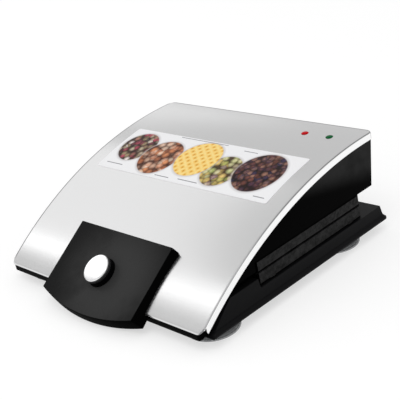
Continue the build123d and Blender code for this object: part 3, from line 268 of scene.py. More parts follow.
def grid_quads(rows, cols, wrap):
    """Corner numbers of the quads of a grid; wrap joins the last column to the first."""
    across = cols if wrap else cols - 1
    i, j = np.meshgrid(np.arange(rows - 1), np.arange(across), indexing="ij")
    k = (j + 1) % cols
    quads = np.stack([i * cols + j, i * cols + k, (i + 1) * cols + k, (i + 1) * cols + j], -1)
    return quads.reshape(-1, 4)


def surface(name, patches, sharp=40.0):
    """One closed mesh from grids of points in millimetres: (points, wrap) for each patch.
    Touching borders are merged and the faces are turned outwards."""
    same_point, no_length = 2e-6, 1e-7
    points, quads, start = [], [], 0
    for grid, wrap in patches:
        rows, cols = grid.shape[:2]
        points.append(grid.reshape(-1, 3) * millimetre)
        quads.append(grid_quads(rows, cols, wrap) + start)
        start += rows * cols
    mesh = bpy.data.meshes.new(name)
    mesh.from_pydata(np.concatenate(points), [], np.concatenate(quads).tolist())
    work = bmesh.new()
    work.from_mesh(mesh)
    bmesh.ops.remove_doubles(work, verts=work.verts, dist=same_point)
    bmesh.ops.dissolve_degenerate(work, edges=work.edges, dist=no_length)
    bmesh.ops.recalc_face_normals(work, faces=work.faces)
    work.to_mesh(mesh)
    work.free()
    smoothed(mesh, sharp)
    return placed(name, mesh)


def turned(profile, steps=96, ripple=None):
    """Points of a turned piece: profile is (radius, height) along rows, turned about Z.
    ripple(angle, profile) adds to the radius."""
    angle = np.linspace(0, 2 * pi, steps, endpoint=False)
    radius = profile[:, 0:1] + (ripple(angle, profile) if ripple else 0 * angle)
    height = np.broadcast_to(profile[:, 1:2], radius.shape)
    return np.stack([radius * np.cos(angle), radius * np.sin(angle), height], -1)


def smooth_line(points, steps=6, corner=0.35):
    """Polyline with each inner corner replaced by a short parabola:
    p = a (1 - t)^2 + 2 b t (1 - t) + c t^2, with b the corner, and a and c that far from it."""
    longest = 0.45  # share of a side that one parabola may take
    points = np.asarray(points, float)
    line = [points[0]]
    t = np.linspace(0, 1, steps)[:, None]
    for before, here, after in zip(points[:-2], points[1:-1], points[2:]):
        ends = []
        for other in (before, after):
            length = np.linalg.norm(other - here)
            ends.append(here + (other - here) / length * min(corner, longest * length))
        line.extend(ends[0] * (1 - t) ** 2 + 2 * here * t * (1 - t) + ends[1] * t ** 2)
    line.append(points[-1])
    return np.array(line)


lip, neck, stem, barb = 21.2, 13.0, 4.0, 5.6  # radii
neck_top, barb_bottom, barb_top = 8.1, 12.0, 14.7
foot_profile = smooth_line(
    [(pole, 3.8), (10.4, 3.8), (18.6, 0.0), (lip, 0.0), (lip, 1.1), (20.0, 1.5), (19.3, 2.7),
     (18.5, 2.7), (17.8, 2.9), (neck, 6.2), (neck, neck_top), (stem, neck_top),
     (stem, barb_bottom), (barb, barb_bottom), (2.4, barb_top), (pole, barb_top)], corner=0.7)
foot_places = {"front": (102.8, -69.9), "rear": (102.1, 78.7)}
silicone = finish("clear grey silicone", (0.2, 0.205, 0.21), 0.16, Transmission_Weight=0.75,
                  IOR=1.41, Coat_Weight=0.3)[0]
for side, way in (("left", -1), ("right", 1)):
    for end, (x, y) in foot_places.items():
        name = "foot_" + end + "_" + side
        points = turned(foot_profile) + (way * x, y, 0)
        foot = surface(name + "_piece", [(points, True)])
        settle(foot, "base", silicone, name)

# ---------------------------------------------------------------- cooking plates
# Two like castings in aluminium with a rough baked non-stick coating: two wells of square studs
# in each, and a plain band round the edge that shows at the sides of the closed appliance. A
# black line of painted shade runs along the edges of the bands, for the gaps between the parts.


def coated_casting():
    """Non-stick coating: pitted cast height at about 3 mm, sprayed grain at 0.4 mm, and lighter
    rubbed places where a mix of a broad noise and the pits is high."""
    unworn, rubbed = (0.004, 0.004, 0.004), (0.03, 0.03, 0.03)
    spray_share, pit_share = 0.3, 0.55  # of the spray in the height, of the pits in the wear
    worn_from, worn_full = 0.4, 0.62
    smoothest, roughest = 0.38, 0.6
    made, tree, shader = finish("non-stick coating", unworn, Specular_IOR_Level=0.07)
    place = own_place(tree)
    pits = noise(tree, place, Scale=340.0, Detail=5.0, Roughness=0.7)
    spray = noise(tree, place, Scale=2600.0, Detail=2.0)
    rub = noise(tree, place, Scale=90.0, Detail=5.0, Roughness=0.65)
    height = calculate(tree, "MULTIPLY_ADD", spray, spray_share, pits)
    bumped(tree, shader, height, strength=0.8, distance=0.0006)
    patchy = node_of(tree, "ShaderNodeMix", data_type="FLOAT", A=rub, B=pits, Factor=pit_share)
    worn = ranged(tree, patchy.outputs["Result"], worn_from, worn_full)
    tree.links.new(over(tree, (*unworn, 1), (*rubbed, 1), worn), shader.inputs["Base Color"])
    rough = ranged(tree, rub, 0.0, 1.0, smoothest, roughest)
    tree.links.new(rough, shader.inputs["Roughness"])
    return made


def polygon_vectors(piece, kind):
    """Centres or normals of a piece's faces, one row for each."""
    values = np.empty(len(piece.data.polygons) * 3)
    piece.data.polygons.foreach_get(kind, values)
    return values.reshape(-1, 3)


def give_faces(piece, numbers, *materials):
    """Adds materials to a piece and gives each face the one of its number, 0 for the first."""
    for material in materials:
        piece.data.materials.append(material)
    piece.data.polygons.foreach_set("material_index", numbers.astype(np.int32))


coating = coated_casting()
# black with no gloss: painted shade for the gaps along the bands' edges
band_edge_painted_shade = finish("painted shade at band edges", (0.0008, 0.0008, 0.0008), 0.8, Specular_IOR_Level=0.0)[0]
# all in metres: half the plates' width, their front and rear, and their edges' radius
plate_half, plate_front, plate_rear = 0.1225, -0.03415, 0.09335
plate_edge = 0.00045
beside = 0.001  # a face whose middle is nearer than this to the plate's outside is on it
upright = 0.7  # a face whose normal is more level than this stands
front_line = plate_front + 0.0018  # as far as the painted shade reaches from the front corner
# body, bottom and top of the band, and how far the painted shade reaches from each
bands = {"lower_plate": ("base", (0.0223, 0.03265), (0.0009, 0.0005)),
         "upper_plate": ("lid", (0.03315, 0.0435), (0.0009, 0.0019))}
for name, (body, (bottom, top), (over_bottom, under_top)) in bands.items():
    low, high = bottom + over_bottom, top - under_top
    plate = rounded_copy(name, plate_edge, segments=2, cuts=(
        ((0, 0, low), (0, 0, 1)), ((0, 0, high), (0, 0, 1)), ((0, front_line, 0), (0, 1, 0))))
    settle(plate, body, coating, name)
    x, y, z = polygon_vectors(plate, "center").T
    turned_out = np.hypot(*polygon_vectors(plate, "normal")[:, :2].T) > upright
    outside = ((np.abs(x) > plate_half - beside) | (y < plate_front + beside)
               | (y > plate_rear - beside))
    at_edge = (z < low) | (z > high) | (y < front_line)
    # faces at the bands' edges get the black painted shade of the gaps between the parts
    give_faces(plate, outside & turned_out & at_edge, band_edge_painted_shade)

# ---------------------------------------------------------------- heating and control
# Steel-sheathed heating tubes lie against the plates over aluminium reflector trays. A ceramic
# thermostat, a thermal fuse and a nylon terminal block complete the circuit.
sheath = cloudy_metal("oxidised heater sheath", (0.3, 0.27, 0.24), 0.45)
tray = cloudy_metal("mill aluminium", (0.78, 0.78, 0.79), 0.38)
dress(sheath, "lower_heater", "upper_heater")
dress(tray, "lower_reflector", "upper_reflector")
ceramic = moulded_plastic("ceramic", (0.8, 0.78, 0.7), roughness=0.3, spread=0.1, grain=900.0,
                          bump=0.1)
nylon = moulded_plastic("natural nylon", (0.76, 0.75, 0.7), roughness=0.5, spread=0.1,
                        grain=1200.0, bump=0.15)
dress(ceramic, "thermostat", "thermal_fuse")
dress(nylon, "terminal_block", "cord_clamp")

# ---------------------------------------------------------------- lid moulding
# The lid's black shell hangs under the steel: flat sides, a leaning back and a lip in front.
# It is moulded in one piece, and high up at the rear its sides are painted lighter: a painted
# highlight.


def upper_rear_highlight(tree, place):
    """Mask of the painted highlight on the lid's upper rear part: a smooth step of z + y / 4, in
    metres.
    """
    highlight_start, highlight_end = 0.073, 0.092
    rise = calculate(tree, "DOT_PRODUCT", place, (0, 0.25, 1), kind="ShaderNodeVectorMath")
    return ranged(tree, rise, highlight_start, highlight_end, step="SMOOTHSTEP")


# cloud 46: the sides' upper rear is painted up to 46 times as light, a painted highlight
lid_plastic = moulded_plastic("black lid plastic", (0.0007, 0.0007, 0.0007), roughness=0.4,
                              spread=0.12, grain=2600.0, bump=0.15, cloud=46.0, where=upper_rear_highlight,
                              Specular_IOR_Level=0.01)
lid_edge = 0.0006
settle(rounded_copy("lid_shell", lid_edge), "lid", lid_plastic, "lid_shell")

# ---------------------------------------------------------------- steel cover
# One sheet of satin stainless steel, drawn to a long arc, with a narrow flange folded down at
# the sides and back. The flange is a lighter copy of the steel, a painted highlight, and the fold
# between them a darker copy, a painted dark reflection. On the left and at the rear this painted
# dark reflection reaches a little way on to the top.
arc_radius = 347.5
arc_y, arc_z = 111.35, -258.25


def arc_height(y, depth=0.0):
    """Height of the cover's arc at y, in millimetres, measured depth inside it:
    z = z0 + sqrt((R - depth)^2 - (y - y0)^2)."""
    return arc_z + np.sqrt((arc_radius - depth) ** 2 - (y - arc_y) ** 2)


def outline_rows(half, front, rear, front_corner, rear_corner, inset, rows, extra):
    """Rows of a rounded rectangle, front to back: half width and y of each row. extra holds the
    y of rows added between the corners. In a corner x grows with the sine of the turn from the
    edge, and y with one less its cosine."""
    corner_rows = 9
    turn = np.linspace(0, pi / 2, corner_rows)
    back_turn = turn[::-1]
    front_radius, rear_radius = front_corner - inset, rear_corner - inset
    middle = np.linspace(front + front_corner, rear - rear_corner, rows)[1:-1]
    middle = np.sort(np.append(middle, extra))
    wide = np.concatenate([
        half - front_corner + front_radius * np.sin(turn),
        np.full(middle.shape, half - inset),
        half - rear_corner + rear_radius * np.sin(back_turn)])
    y = np.concatenate([
        front + front_corner - front_radius * np.cos(turn),
        middle,
        rear - rear_corner + rear_radius * np.cos(back_turn)])
    return wide, y


def border(wide, y, share):
    """The closed border of a row grid: front edge, right side, back edge, left side."""
    x = np.concatenate([share * wide[0], wide[1:-1], share[::-1] * wide[-1], -wide[-2:0:-1]])
    along = np.concatenate([
        np.full(share.shape, y[0]), y[1:-1], np.full(share.shape, y[-1]), y[-2:0:-1]])
    return x, along


def domed_sheet(name, bounds, corners, bend, thick, skirt, rows, cols, lift=0.0, extra=()):
    """Sheet on the cover's arc with its edge bent down. bounds holds its half width, front and
    rear, and corners the radii of its front and rear corners.
    The top and the underside are row grids; between them closed borders run over the bend,
    down the skirt to depth skirt(y), and up inside it."""
    crowd = pi / 2 * 0.86  # columns are closer near the sides: x share = sin(crowd u) / sin(crowd)
    bend_rows = 7
    deepest = 99.0  # more than any skirt; skirt(y) cuts it off
    sharp = 50.0
    share = np.sin(np.linspace(-1, 1, cols) * crowd) / sin(crowd)
    wide, y = outline_rows(*bounds, *corners, bend, rows, extra)
    x = share * wide[:, None]
    along = np.broadcast_to(y[:, None], x.shape)
    top, underside = (np.stack([x, along, arc_height(along, depth - lift)], -1)
                      for depth in (0.0, thick))
    limit = skirt(border(*outline_rows(*bounds, *corners, 0, rows, extra), share)[1])
    turn = np.linspace(0, pi / 2, bend_rows)
    stages = [(bend * (1 - sin(a)), bend * (1 - cos(a))) for a in turn]
    stages += [(0.0, deepest), (thick, deepest), (thick, max(bend, thick)), (bend, thick)]
    loops = []
    for inset, depth in stages:
        rim = outline_rows(*bounds, *corners, min(inset, bend), rows, extra)
        x, along = border(*rim, share)
        loops.append(np.stack([x, along, arc_height(along, np.minimum(depth, limit) - lift)], -1))
    return surface(name, [(top, False), (np.stack(loops), True), (underside, False)], sharp)


def satin_steel(name, colour, roughness, scratch):
    """Satin-rolled stainless steel: fine lines along X, from a noise that is stretched that way,
    with a broad cloudiness in the roughness. scratch is the strength of the lines' bump."""
    made, tree, shader = finish(name, colour, roughness, 1.0)
    fineness, stretch = 5200.0, 60.0
    cloud_share = 0.35
    uneven_from, uneven_to = 0.35, 1.0  # the range of the lines and the clouds together
    smoother, rougher = 0.05, 0.07
    place = own_place(tree)
    stretched = node_of(tree, "ShaderNodeMapping", Vector=place,
                        Scale=(fineness / stretch, fineness, fineness)).outputs["Vector"]
    lines = noise(tree, stretched, Scale=1.0, Detail=3.0, Roughness=0.7)
    cloud = noise(tree, place, Scale=14.0, Detail=4.0)
    uneven = calculate(tree, "MULTIPLY_ADD", cloud, cloud_share, lines)
    rough = ranged(
        tree, uneven, uneven_from, uneven_to, roughness - smoother, roughness + rougher)
    tree.links.new(rough, shader.inputs["Roughness"])
    bumped(tree, shader, lines, scratch, distance=0.00002)
    return made


sheet, fold_radius, flange_depth = 0.8, 1.2, 6.0
flange_front = -97.0  # y at which the flange begins
flange_cut = 2.1  # how steeply its front end is cut: mm down for each mm back


def cover_skirt(y):
    """Depth of the folded edge: it grows by the slope of the cut behind the flange's front,
    from the sheet's own thickness to the flange's depth. This cuts its end square to the arc."""
    return np.clip(flange_cut * (y - flange_front), sheet, flange_depth)


steel = satin_steel("satin stainless steel", (0.745, 0.745, 0.747), 0.185, 0.05)
# lighter copy of the steel for the flange: painted highlight
flange_painted_highlight = satin_steel("steel with painted highlight", (0.94, 0.94, 0.942), 0.14, 0.04)
# darker copy of the steel for the fold: painted dark reflection
fold_painted_dark = satin_steel("steel with painted dark reflection", (0.3, 0.3, 0.305), 0.3, 0.06)
cover_bounds, cover_corners = (125.0, -101.0, 121.1), (5.9, 7.0)
cut_rows = flange_front + np.array([0.38, 2.86])  # where the cut begins and ends
cover = domed_sheet("steel_cover_piece", cover_bounds, cover_corners, fold_radius, sheet,
                    cover_skirt, rows=70, cols=81, extra=cut_rows)
settle(cover, "lid", steel, "steel_cover")
x, y, _ = polygon_vectors(cover, "center").T
right, back, up = polygon_vectors(cover, "normal").T
rear_from, dark_left, dark_rear = 0.112, -0.1231, 0.1186  # metres
top_from = 0.7  # how far the top's faces lean upwards
fold_from, fold_to, flange_from = 0.3, 0.8, 0.97  # and the others outwards
corner_from = 0.42  # how far the rear corners' faces lean both back and to the side
at_rear = y > rear_from
sideways = np.hypot(right, np.where(at_rear, back, 0))
# top faces near the left and rear edges also get the painted dark reflection
near_fold = (up > top_from) & ((x < dark_left) | (y > dark_rear))
at_corner = at_rear & (back > corner_from) & (np.abs(right) > corner_from)
folded = near_fold | at_corner | ((sideways > fold_from) & (sideways < fold_to))
# 0 for the top, 1 for the flange's painted highlight, 2 for the painted dark reflection
part_of = np.where(folded, 2, np.where(sideways > flange_from, 1, 0))
give_faces(cover, part_of, flange_painted_highlight, fold_painted_dark)

# ---------------------------------------------------------------- label
# A printed plastic film on the steel: a white sheet with a row of overlapping round prints at
# different heights, each with a plain pattern in the colours of baked food, and thin rules.


def round_print():
    """Inside = 1 within Radius of (X, Y), falling to 0 over the last Soft metres."""
    tree, inlet, outlet = new_group(
        "round print", {"X": 0.0, "Y": 0.0, "Radius": 0.02, "Soft": 0.001}, ("Inside",))
    place = own_place(tree)
    height = node_of(tree, "ShaderNodeSeparateXYZ", Vector=place).outputs["Z"]
    middle = node_of(tree, "ShaderNodeCombineXYZ", X=inlet.outputs["X"], Y=inlet.outputs["Y"],
                     Z=height).outputs["Vector"]
    reach = calculate(tree, "DISTANCE", place, middle, kind="ShaderNodeVectorMath")
    near = calculate(tree, "SUBTRACT", inlet.outputs["Radius"], inlet.outputs["Soft"])
    inside = ranged(tree, reach, near, inlet.outputs["Radius"], 1.0, 0.0)
    tree.links.new(inside, outlet.inputs["Inside"])
    return tree


def ramp(tree, value, colours):
    """Colour ramp with evenly spaced colours."""
    node = node_of(tree, "ShaderNodeValToRGB", Fac=value)
    for index, colour in enumerate(colours):
        at = index / (len(colours) - 1)
        if index in (0, len(colours) - 1):
            stop = node.color_ramp.elements[-1 if index else 0]
            stop.position = at
        else:
            stop = node.color_ramp.elements.new(at)
        stop.color = (*colour, 1)
    return node.outputs["Color"]


def cell_pattern(tree, place, scale, colours):
    """Voronoi cells of mixed colours, darker towards their borders, with a fine mottle.
    Place on the ramp = 0.35 * mottle + 0.9 * the cell's random value - 0.12."""
    border_shade = (0.12, 0.08, 0.07, 1)
    border_from, border_full = 0.25, 0.75
    finer = 2.3  # how much finer the mottle is than the cells
    cells = node_of(tree, "ShaderNodeTexVoronoi", Vector=place, Scale=scale)
    mottle = noise(tree, place, Scale=scale * finer, Detail=3.0)
    chance = node_of(tree, "ShaderNodeSeparateColor", Color=cells.outputs["Color"])
    shifted = calculate(tree, "MULTIPLY_ADD", chance.outputs["Red"], 0.9, -0.12)
    blended = calculate(tree, "MULTIPLY_ADD", mottle, 0.35, shifted)
    near_border = ranged(tree, cells.outputs["Distance"], border_from, border_full)
    return over(tree, ramp(tree, blended, colours), border_shade, near_border, "MULTIPLY")


def lattice_pattern(tree, place, pitch, colours):
    """Crossed ridges, turned 38 degrees: height = max(|sin(pi u / pitch)|, |sin(pi v / pitch)|).
    Place on the ramp = 0.45 * mottle + height - 0.32."""
    crossed = node_of(tree, "ShaderNodeMapping", Vector=place, Rotation=(0, 0, radians(38)))
    parts = node_of(tree, "ShaderNodeSeparateXYZ", Vector=crossed.outputs["Vector"])
    ridges = []
    for axis in ("X", "Y"):
        phase = calculate(tree, "MULTIPLY", parts.outputs[axis], pi / pitch)
        ridges.append(calculate(tree, "ABSOLUTE", calculate(tree, "SINE", phase)))
    lowered = calculate(tree, "SUBTRACT", calculate(tree, "MAXIMUM", *ridges), 0.32)
    mottle = noise(tree, place, Scale=260.0, Detail=3.0)
    return ramp(tree, calculate(tree, "MULTIPLY_ADD", mottle, 0.45, lowered), colours)


def rule(tree, parts, under, x, y, half_long, half_tall, colour):
    """Thin printed rule, from two comparisons of the place with its middle."""
    masks = [calculate(tree, "COMPARE", parts.outputs[axis], middle, half)
             for axis, middle, half in (("X", x, half_long), ("Y", y, half_tall))]
    return over(tree, under, colour, calculate(tree, "MULTIPLY", *masks))


def printed_film():
    """White film with five round prints, each with a soft grey rim, and its rules."""
    white, rim_grey, rule_grey = (0.91, 0.91, 0.922), (0.5, 0.46, 0.46, 1), (0.3, 0.3, 0.32, 1)
    made, tree, shader = finish("printed film", white, 0.35, Specular_IOR_Level=0.12)
    disc_group = round_print()
    place = own_place(tree)
    parts = node_of(tree, "ShaderNodeSeparateXYZ", Vector=place)
    berry = ((0.1, 0.06, 0.03), (0.38, 0.28, 0.16), (0.5, 0.07, 0.12), (0.05, 0.03, 0.03),
             (0.55, 0.45, 0.3), (0.88, 0.8, 0.78))
    peach = ((0.3, 0.08, 0.03), (0.8, 0.32, 0.14), (0.45, 0.14, 0.06), (0.95, 0.72, 0.55),
             (0.62, 0.2, 0.08))
    golden = ((0.62, 0.27, 0.03), (0.93, 0.55, 0.1), (1.0, 0.78, 0.3))
    leafy = ((0.08, 0.16, 0.03), (0.85, 0.6, 0.2), (0.35, 0.42, 0.1), (0.9, 0.8, 0.5),
             (0.18, 0.05, 0.12))
    cocoa = ((0.03, 0.01, 0.01), (0.16, 0.05, 0.03), (0.02, 0.02, 0.07), (0.36, 0.18, 0.12),
             (0.05, 0.02, 0.05), (0.24, 0.08, 0.04))
    prints = (  # x, y and radius in metres, and pattern; later ones lie over earlier ones
        (-0.0815, 0.0355, 0.0205, cell_pattern(tree, place, 190.0, berry)),
        (-0.0435, 0.0280, 0.0228, cell_pattern(tree, place, 150.0, peach)),
        (0.0355, 0.0265, 0.0195, cell_pattern(tree, place, 170.0, leafy)),
        (-0.0005, 0.0350, 0.0235, lattice_pattern(tree, place, 0.0062, golden)),
        (0.0735, 0.0335, 0.0245, cell_pattern(tree, place, 205.0, cocoa)))
    rules = (  # x, y and half length
        (-0.088, 0.0095, 0.011), (-0.02, 0.0065, 0.009), (0.012, 0.0075, 0.012),
        (0.095, 0.0075, 0.006), (-0.015, 0.0588, 0.03), (0.045, 0.0555, 0.008))
    rim_width, rim_soft, print_soft, rule_half = 0.0022, 0.004, 0.0009, 0.00045
    colour = (*white, 1)
    for x, y, radius, pattern in prints:
        for grown, soft, paint in ((rim_width, rim_soft, rim_grey), (0.0, print_soft, pattern)):
            mask = node_of(tree, "ShaderNodeGroup", node_tree=disc_group, X=x, Y=y,
                           Radius=radius + grown, Soft=soft)
            colour = over(tree, colour, paint, mask.outputs["Inside"])
    for x, y, half_long in rules:
        colour = rule(tree, parts, colour, x, y, half_long, rule_half, rule_grey)
    tree.links.new(colour, shader.inputs["Base Color"])
    return made


film_bounds, film_corners = (106.6, 2.8, 60.65), (2.0, 2.0)
film_thick, film_round = 0.2, 0.1  # thickness, and radius of its edge
film_lift = 0.25  # height of its face above the steel


def film_edge(y):
    """The film has no skirt: its edge is as deep as the film all round."""
    return np.full(y.shape, film_thick)


label = domed_sheet("label_piece", film_bounds, film_corners, film_round, film_thick, film_edge,
                    rows=12, cols=41, lift=film_lift)
settle(label, "lid", printed_film(), "label_panel")

# ---------------------------------------------------------------- indicator lenses and lamps
# Two small domed lenses of tinted plastic stand in holes in the steel, each over a neon lamp in
# a silicone sleeve.
lens_radius, stem_radius, stem_bottom, lens_y = 3.25, 2.7, -5.4, 97.6
lens_profile = smooth_line(
    [(pole, 0.9), (2.3, 0.78), (lens_radius, 0.2), (lens_radius, 0.0), (stem_radius, 0.0),
     (stem_radius, stem_bottom), (pole, stem_bottom)], steps=8, corner=0.5)
lens_seat = float(arc_height(lens_y))
for name, x, slot, colour in (("power_lens", 70.1, "red_lens", (0.52, 0.0, 0.003)),
                              ("ready_lens", 96.7, "green_lens", (0.0, 0.1, 0.024))):
    tinted = finish(name + " plastic", colour, 0.12, Specular_IOR_Level=0.07)[0]
    points = turned(lens_profile, steps=48) + (x, lens_y, lens_seat)
    lens = surface(name + "_piece", [(points, True)])
    settle(lens, "lid", tinted, name)
dress(silicone, "lamp_sleeves")
lamp_glass = finish("lamp glass", (0.95, 0.9, 0.86), 0.05, Transmission_Weight=0.95, IOR=1.5)[0]
dress(lamp_glass, "neon_lamps")

# ---------------------------------------------------------------- handle
# A dark hollow moulding with a satin face, flared sides and a bowed front edge, screwed on
# through the lid's skin; its walls have the mould's coarser grain. A plate closes its overhang
# from below. The face's middle and front are painted lighter, a painted highlight, and the walls
# and the plate are a darker copy of the plastic, painted shade.


def face_middle_highlight(tree, place):
    """Mask of the painted highlight on the handle's middle and front, by distance from a point on
    its face, in metres.
    """
    highlight_middle, highlight_end, highlight_full = (0.012, -0.094, 0.029), 0.075, 0.02
    away = calculate(tree, "DISTANCE", place, highlight_middle, kind="ShaderNodeVectorMath")
    return ranged(tree, away, highlight_end, highlight_full, step="SMOOTHSTEP")


# cloud 7.5: the face's middle and front are painted lighter, a painted highlight
handle_plastic = moulded_plastic("dark handle plastic", (0.005, 0.005, 0.005), roughness=0.28,
                                 spread=0.1, grain=2200.0, bump=0.2, cloud=7.5,
                                 where=face_middle_highlight, Specular_IOR_Level=0.045)
# walls and closing plate: coarser grain and rougher finish are real; the darker colour with almost
# no gloss is painted shade
handle_wall_painted_shade = moulded_plastic("handle wall with painted shade", (0.0012, 0.0012, 0.0012), roughness=0.5,
                              spread=0.12, grain=2400.0, bump=0.2, Specular_IOR_Level=0.004)
dress(handle_wall_painted_shade, "handle_back")
face_slope = radians(33.71)
down = np.array([0, -cos(face_slope), -sin(face_slope)])  # along the face, towards its front
out = np.array([0, -sin(face_slope), cos(face_slope)])  # square to the face
handle_top = np.array([0, -58.3, 52.8])  # a point on the face's rear edge, in millimetres
handle_edge = 0.0004
on_the_face, flat_in_it = 0.9, 0.9995  # how nearly a face of the mesh is turned out
handle = rounded_copy("handle", handle_edge, segments=2, merge_flat=False)
settle(handle, "lid", handle_plastic, "handle")
turned_up = polygon_vectors(handle, "normal") @ out
# faces not turned out with the face get the darker copy: painted shade
give_faces(handle, turned_up < on_the_face, handle_wall_painted_shade)
handle.data.polygons.foreach_set("use_smooth", turned_up < flat_in_it)


def smooth_step(value, start, length):
    """t^2 (3 - 2 t) with t = (value - start) / length, kept between 0 and 1."""
    t = np.clip((value - start) / length, 0, 1)
    return t ** 2 * (3 - 2 * t)


# The wall is deeper towards the front. Each pair says where that starts and over what length
# it grows, in millimetres: along the face, and down from it.
extra_depth, along_face, under_face = 2.0, (45, 20), (3, 5)
points = np.empty(len(handle.data.vertices) * 3)
handle.data.vertices.foreach_get("co", points)
points = points.reshape(-1, 3) / millimetre
deeper = extra_depth * (smooth_step((points - handle_top) @ down, *along_face)
                        * smooth_step((handle_top - points) @ out, *under_face))
points -= deeper[:, None] * out
handle.data.vertices.foreach_set("co", (points * millimetre).ravel())

# ---------------------------------------------------------------- release button
# A ribbed dark knob with a satin collar slides in the handle. A polished steel disc is let into
# its top.
button_along = 37.8  # from the face's top to the button's middle
button_middle = handle_top + down * button_along


def on_face(points):
    """Turns points drawn with the face's normal as Z into place at the button's middle."""
    across = np.array([1.0, 0, 0])
    return (button_middle + points[..., 0:1] * across - points[..., 1:2] * down
            + points[..., 2:3] * out)


rib_count, rib_height = 36, 0.35
rib_steps = 8 * rib_count
ring, band, wall, stem = 12.55, 12.9, 10.6, 4.0  # radii of the knob's parts
ring_bottom, ring_top, wall_bottom, hollow_top = -0.3, 4.8, -0.4, 4.3  # and their heights


def ribs(angle, profile):
    """Half-round ribs round the ring, only between its two smooth bands:
    rib height * sqrt(1 - u^2), with u from -1 to 1 across each rib."""
    radius, height = profile[:, 0:1], profile[:, 1:2]
    on_ring = (radius > ring - 0.25) & (height > ring_bottom) & (height < ring_top + 0.1)
    across = np.mod(angle * rib_count / (2 * pi), 1) * 2 - 1
    return on_ring * rib_height * np.sqrt(np.maximum(0.0, 1 - across ** 2))


knob_line = np.concatenate([
    smooth_line([(pole, 6.7), (12.35, 6.7), (12.35, 7.3), (band, 7.3), (band, 5.0), (ring, 5.0),
                 (ring, ring_top)], steps=5, corner=0.3),
    np.array([(ring, 4.6), (ring, -0.1)]),
    smooth_line([(ring, ring_bottom), (12.4, wall_bottom), (wall, wall_bottom),
                 (wall, hollow_top), (5.6, hollow_top), (5.6, wall_bottom), (stem, wall_bottom),
                 (stem, -11.0), (1.8, -12.7), (pole, -12.7)], steps=5, corner=0.3)])
knob_plastic = moulded_plastic("dark knob plastic", (0.002, 0.002, 0.0023), roughness=0.4,
                               spread=0.1, grain=3000.0, bump=0.15, Specular_IOR_Level=0.03)
collar_plastic = moulded_plastic("satin knob collar", (0.02, 0.02, 0.021), roughness=0.25,
                                 spread=0.1, grain=3000.0, bump=0.1, Specular_IOR_Level=0.45)
knob_points = on_face(turned(knob_line, rib_steps, ribs))
knob = surface("button_knob_piece", [(knob_points, True)], sharp=35.0)
settle(knob, "button", knob_plastic, "button_knob")
collar_bottom = 4.95  # height above the handle's face
height = (polygon_vectors(knob, "center") / millimetre - button_middle) @ out
give_faces(knob, height > collar_bottom, collar_plastic)

# the disc's top falls by 0.12 mm * (r / radius)^2
cap_radius, cap_seat, cap_top, cap_fall = 12.3, 6.75, 8.6, 0.12
cap_radii = np.linspace(0.0, 11.9, 16)
cap_heights = cap_top - cap_fall * (cap_radii / cap_radius) ** 2
cap_rim = smooth_line([(11.95, 8.45), (cap_radius, 8.0), (cap_radius, cap_seat),
                       (pole, cap_seat)], steps=6, corner=0.25)
cap_line = np.concatenate([np.stack([np.maximum(cap_radii, pole), cap_heights], -1), cap_rim])
bright = finish("polished steel", (0.93, 0.93, 0.935), 0.1, 1.0)[0]
cap_points = on_face(turned(cap_line, steps=128))
cap = surface("button_cap_piece", [(cap_points, True)], sharp=50.0)
settle(cap, "button", bright, "button_cap")

# ---------------------------------------------------------------- latch
# A black hook under the lid turns when the button presses its arm, and lets go of the catch.
# The spring over its tail shortens as the hook turns.
dress(base_plastic, "latch_hook")
spring = placed("latch_spring_piece", nodes["latch_spring"].data.copy())
settle(spring, "lid", zinc, "latch_spring")
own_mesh(spring)

# ---------------------------------------------------------------- floor, light and camera
# A plain pale floor, walls that go from white to pale grey overhead, and one broad soft lamp.
# Panels at the left, in front and behind, show as a sheen and a lighter band in the bowed steel
# and the bright cap.
floor_reach = 6.0  # metres each way
floor_mesh = bpy.data.meshes.new("studio_floor")
floor_mesh.from_pydata(
    [(-floor_reach, -floor_reach, 0), (floor_reach, -floor_reach, 0),
     (floor_reach, floor_reach, 0), (-floor_reach, floor_reach, 0)], [], [(0, 1, 2, 3)])
placed("studio_floor", floor_mesh)
floor_share = 0.46  # how much of the floor's white comes from light that the object can shade
floor_glow = 0.6  # and how much is there in any light
floor_look, floor_tree, floor_shader = finish("pale studio floor", (floor_share,) * 3, 1.0,
                                              Specular_IOR_Level=0.0)
floor_mesh.materials.append(floor_look)


def seen_directly(tree):
    """1 for rays from the camera, from a mirror or through glass, and 0 for all others."""
    rays = tree.nodes.new("ShaderNodeLightPath").outputs
    seen = rays["Is Camera Ray"]
    for kind in ("Is Glossy Ray", "Is Transmission Ray"):
        seen = calculate(tree, "MAXIMUM", seen, rays[kind])
    return seen


glow = node_of(floor_tree, "ShaderNodeEmission", Strength=calculate(
    floor_tree, "MULTIPLY", seen_directly(floor_tree), floor_glow))
both = floor_tree.nodes.new("ShaderNodeAddShader")
floor_tree.links.new(floor_shader.outputs["BSDF"], both.inputs[0])
floor_tree.links.new(glow.outputs["Emission"], both.inputs[1])
floor_tree.links.new(both.outputs["Shader"], floor_tree.nodes["Material Output"].inputs["Surface"])

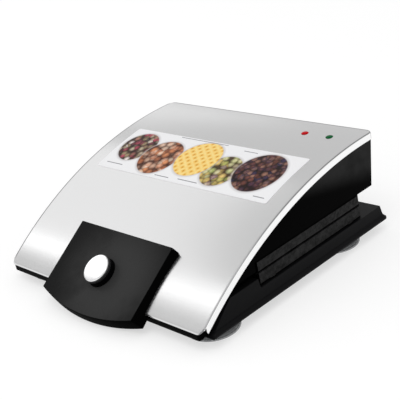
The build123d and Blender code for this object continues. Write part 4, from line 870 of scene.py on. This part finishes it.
world = bpy.data.worlds.new("studio")
bpy.context.scene.world = world
world.use_nodes = True
walls = world.node_tree
sky = walls.nodes["Background"]
sky.inputs["Color"].default_value = (1, 1, 1, 1)
wall_top, ceiling = 0.05, 0.34  # sine of the angle above the horizon at which each is seen
wall_light, ceiling_light = 1.0, 0.7
toward = walls.nodes.new("ShaderNodeTexCoord").outputs["Generated"]
rise = node_of(walls, "ShaderNodeSeparateXYZ", Vector=toward).outputs["Z"]
light = ranged(walls, rise, wall_top, ceiling, wall_light, ceiling_light, "SMOOTHSTEP")
walls.links.new(light, sky.inputs["Strength"])


def aimed(item, place, x, y, z):
    """Puts a lamp or camera at a place, with its own axes along x, y and z."""
    turn = Matrix(np.stack([x, y, z], 1).tolist()).to_4x4()
    item.matrix_world = Matrix.Translation(place) @ turn


def softbox(name, place, aim, width, height, brightness):
    """Rectangular area lamp at place, facing aim. Watts = pi * brightness * area, so that a
    mirror shows it at that brightness."""
    lamp = bpy.data.lights.new(name, "AREA")
    lamp.shape = "RECTANGLE"
    lamp.size, lamp.size_y = width, height
    lamp.energy = pi * brightness * width * height
    z = np.array(place, float) - np.array(aim, float)
    z /= np.linalg.norm(z)
    x = np.cross((0, 1, 0), z)
    x /= np.linalg.norm(x)
    aimed(placed(name, lamp), place, x, np.cross(z, x), z)


softbox("overhead lamp", (0.9, -0.9, 2.2), (0, 0, 0), 1.6, 1.6, 1.8)
softbox("left panel", (-1.5, 0.15, 1.03), (-1.5, 0.15, 0), 1.3, 1.0, 0.36)
softbox("left strip", (-1.35, -0.4, 1.03), (-1.35, -0.4, 0), 1.4, 0.2, 1.0)
softbox("rear left panel", (-2.2, 1.5, 1.0), (-2.2, 1.5, 0), 1.0, 1.0, 0.32)

camera_data = bpy.data.cameras.new("camera")
camera_data.lens = 88.12
camera_place = (0.60875, -0.4734, 0.3845)
# its heading from the Y axis round to the left, how far it looks down, and its roll
heading, pitch, roll = radians(50.582), radians(23.329), radians(-12.05)
straight_up = np.array([0, 0, 1.0])
level = np.array([-sin(heading), cos(heading), 0.0])
right = np.array([cos(heading), sin(heading), 0.0])
forward = cos(pitch) * level - sin(pitch) * straight_up
up = sin(pitch) * level + cos(pitch) * straight_up
camera = placed("camera", camera_data)
aimed(camera, camera_place, cos(roll) * right + sin(roll) * up,
      cos(roll) * up - sin(roll) * right, -forward)
bpy.context.scene.camera = camera
bpy.context.scene.view_settings.view_transform = "Standard"
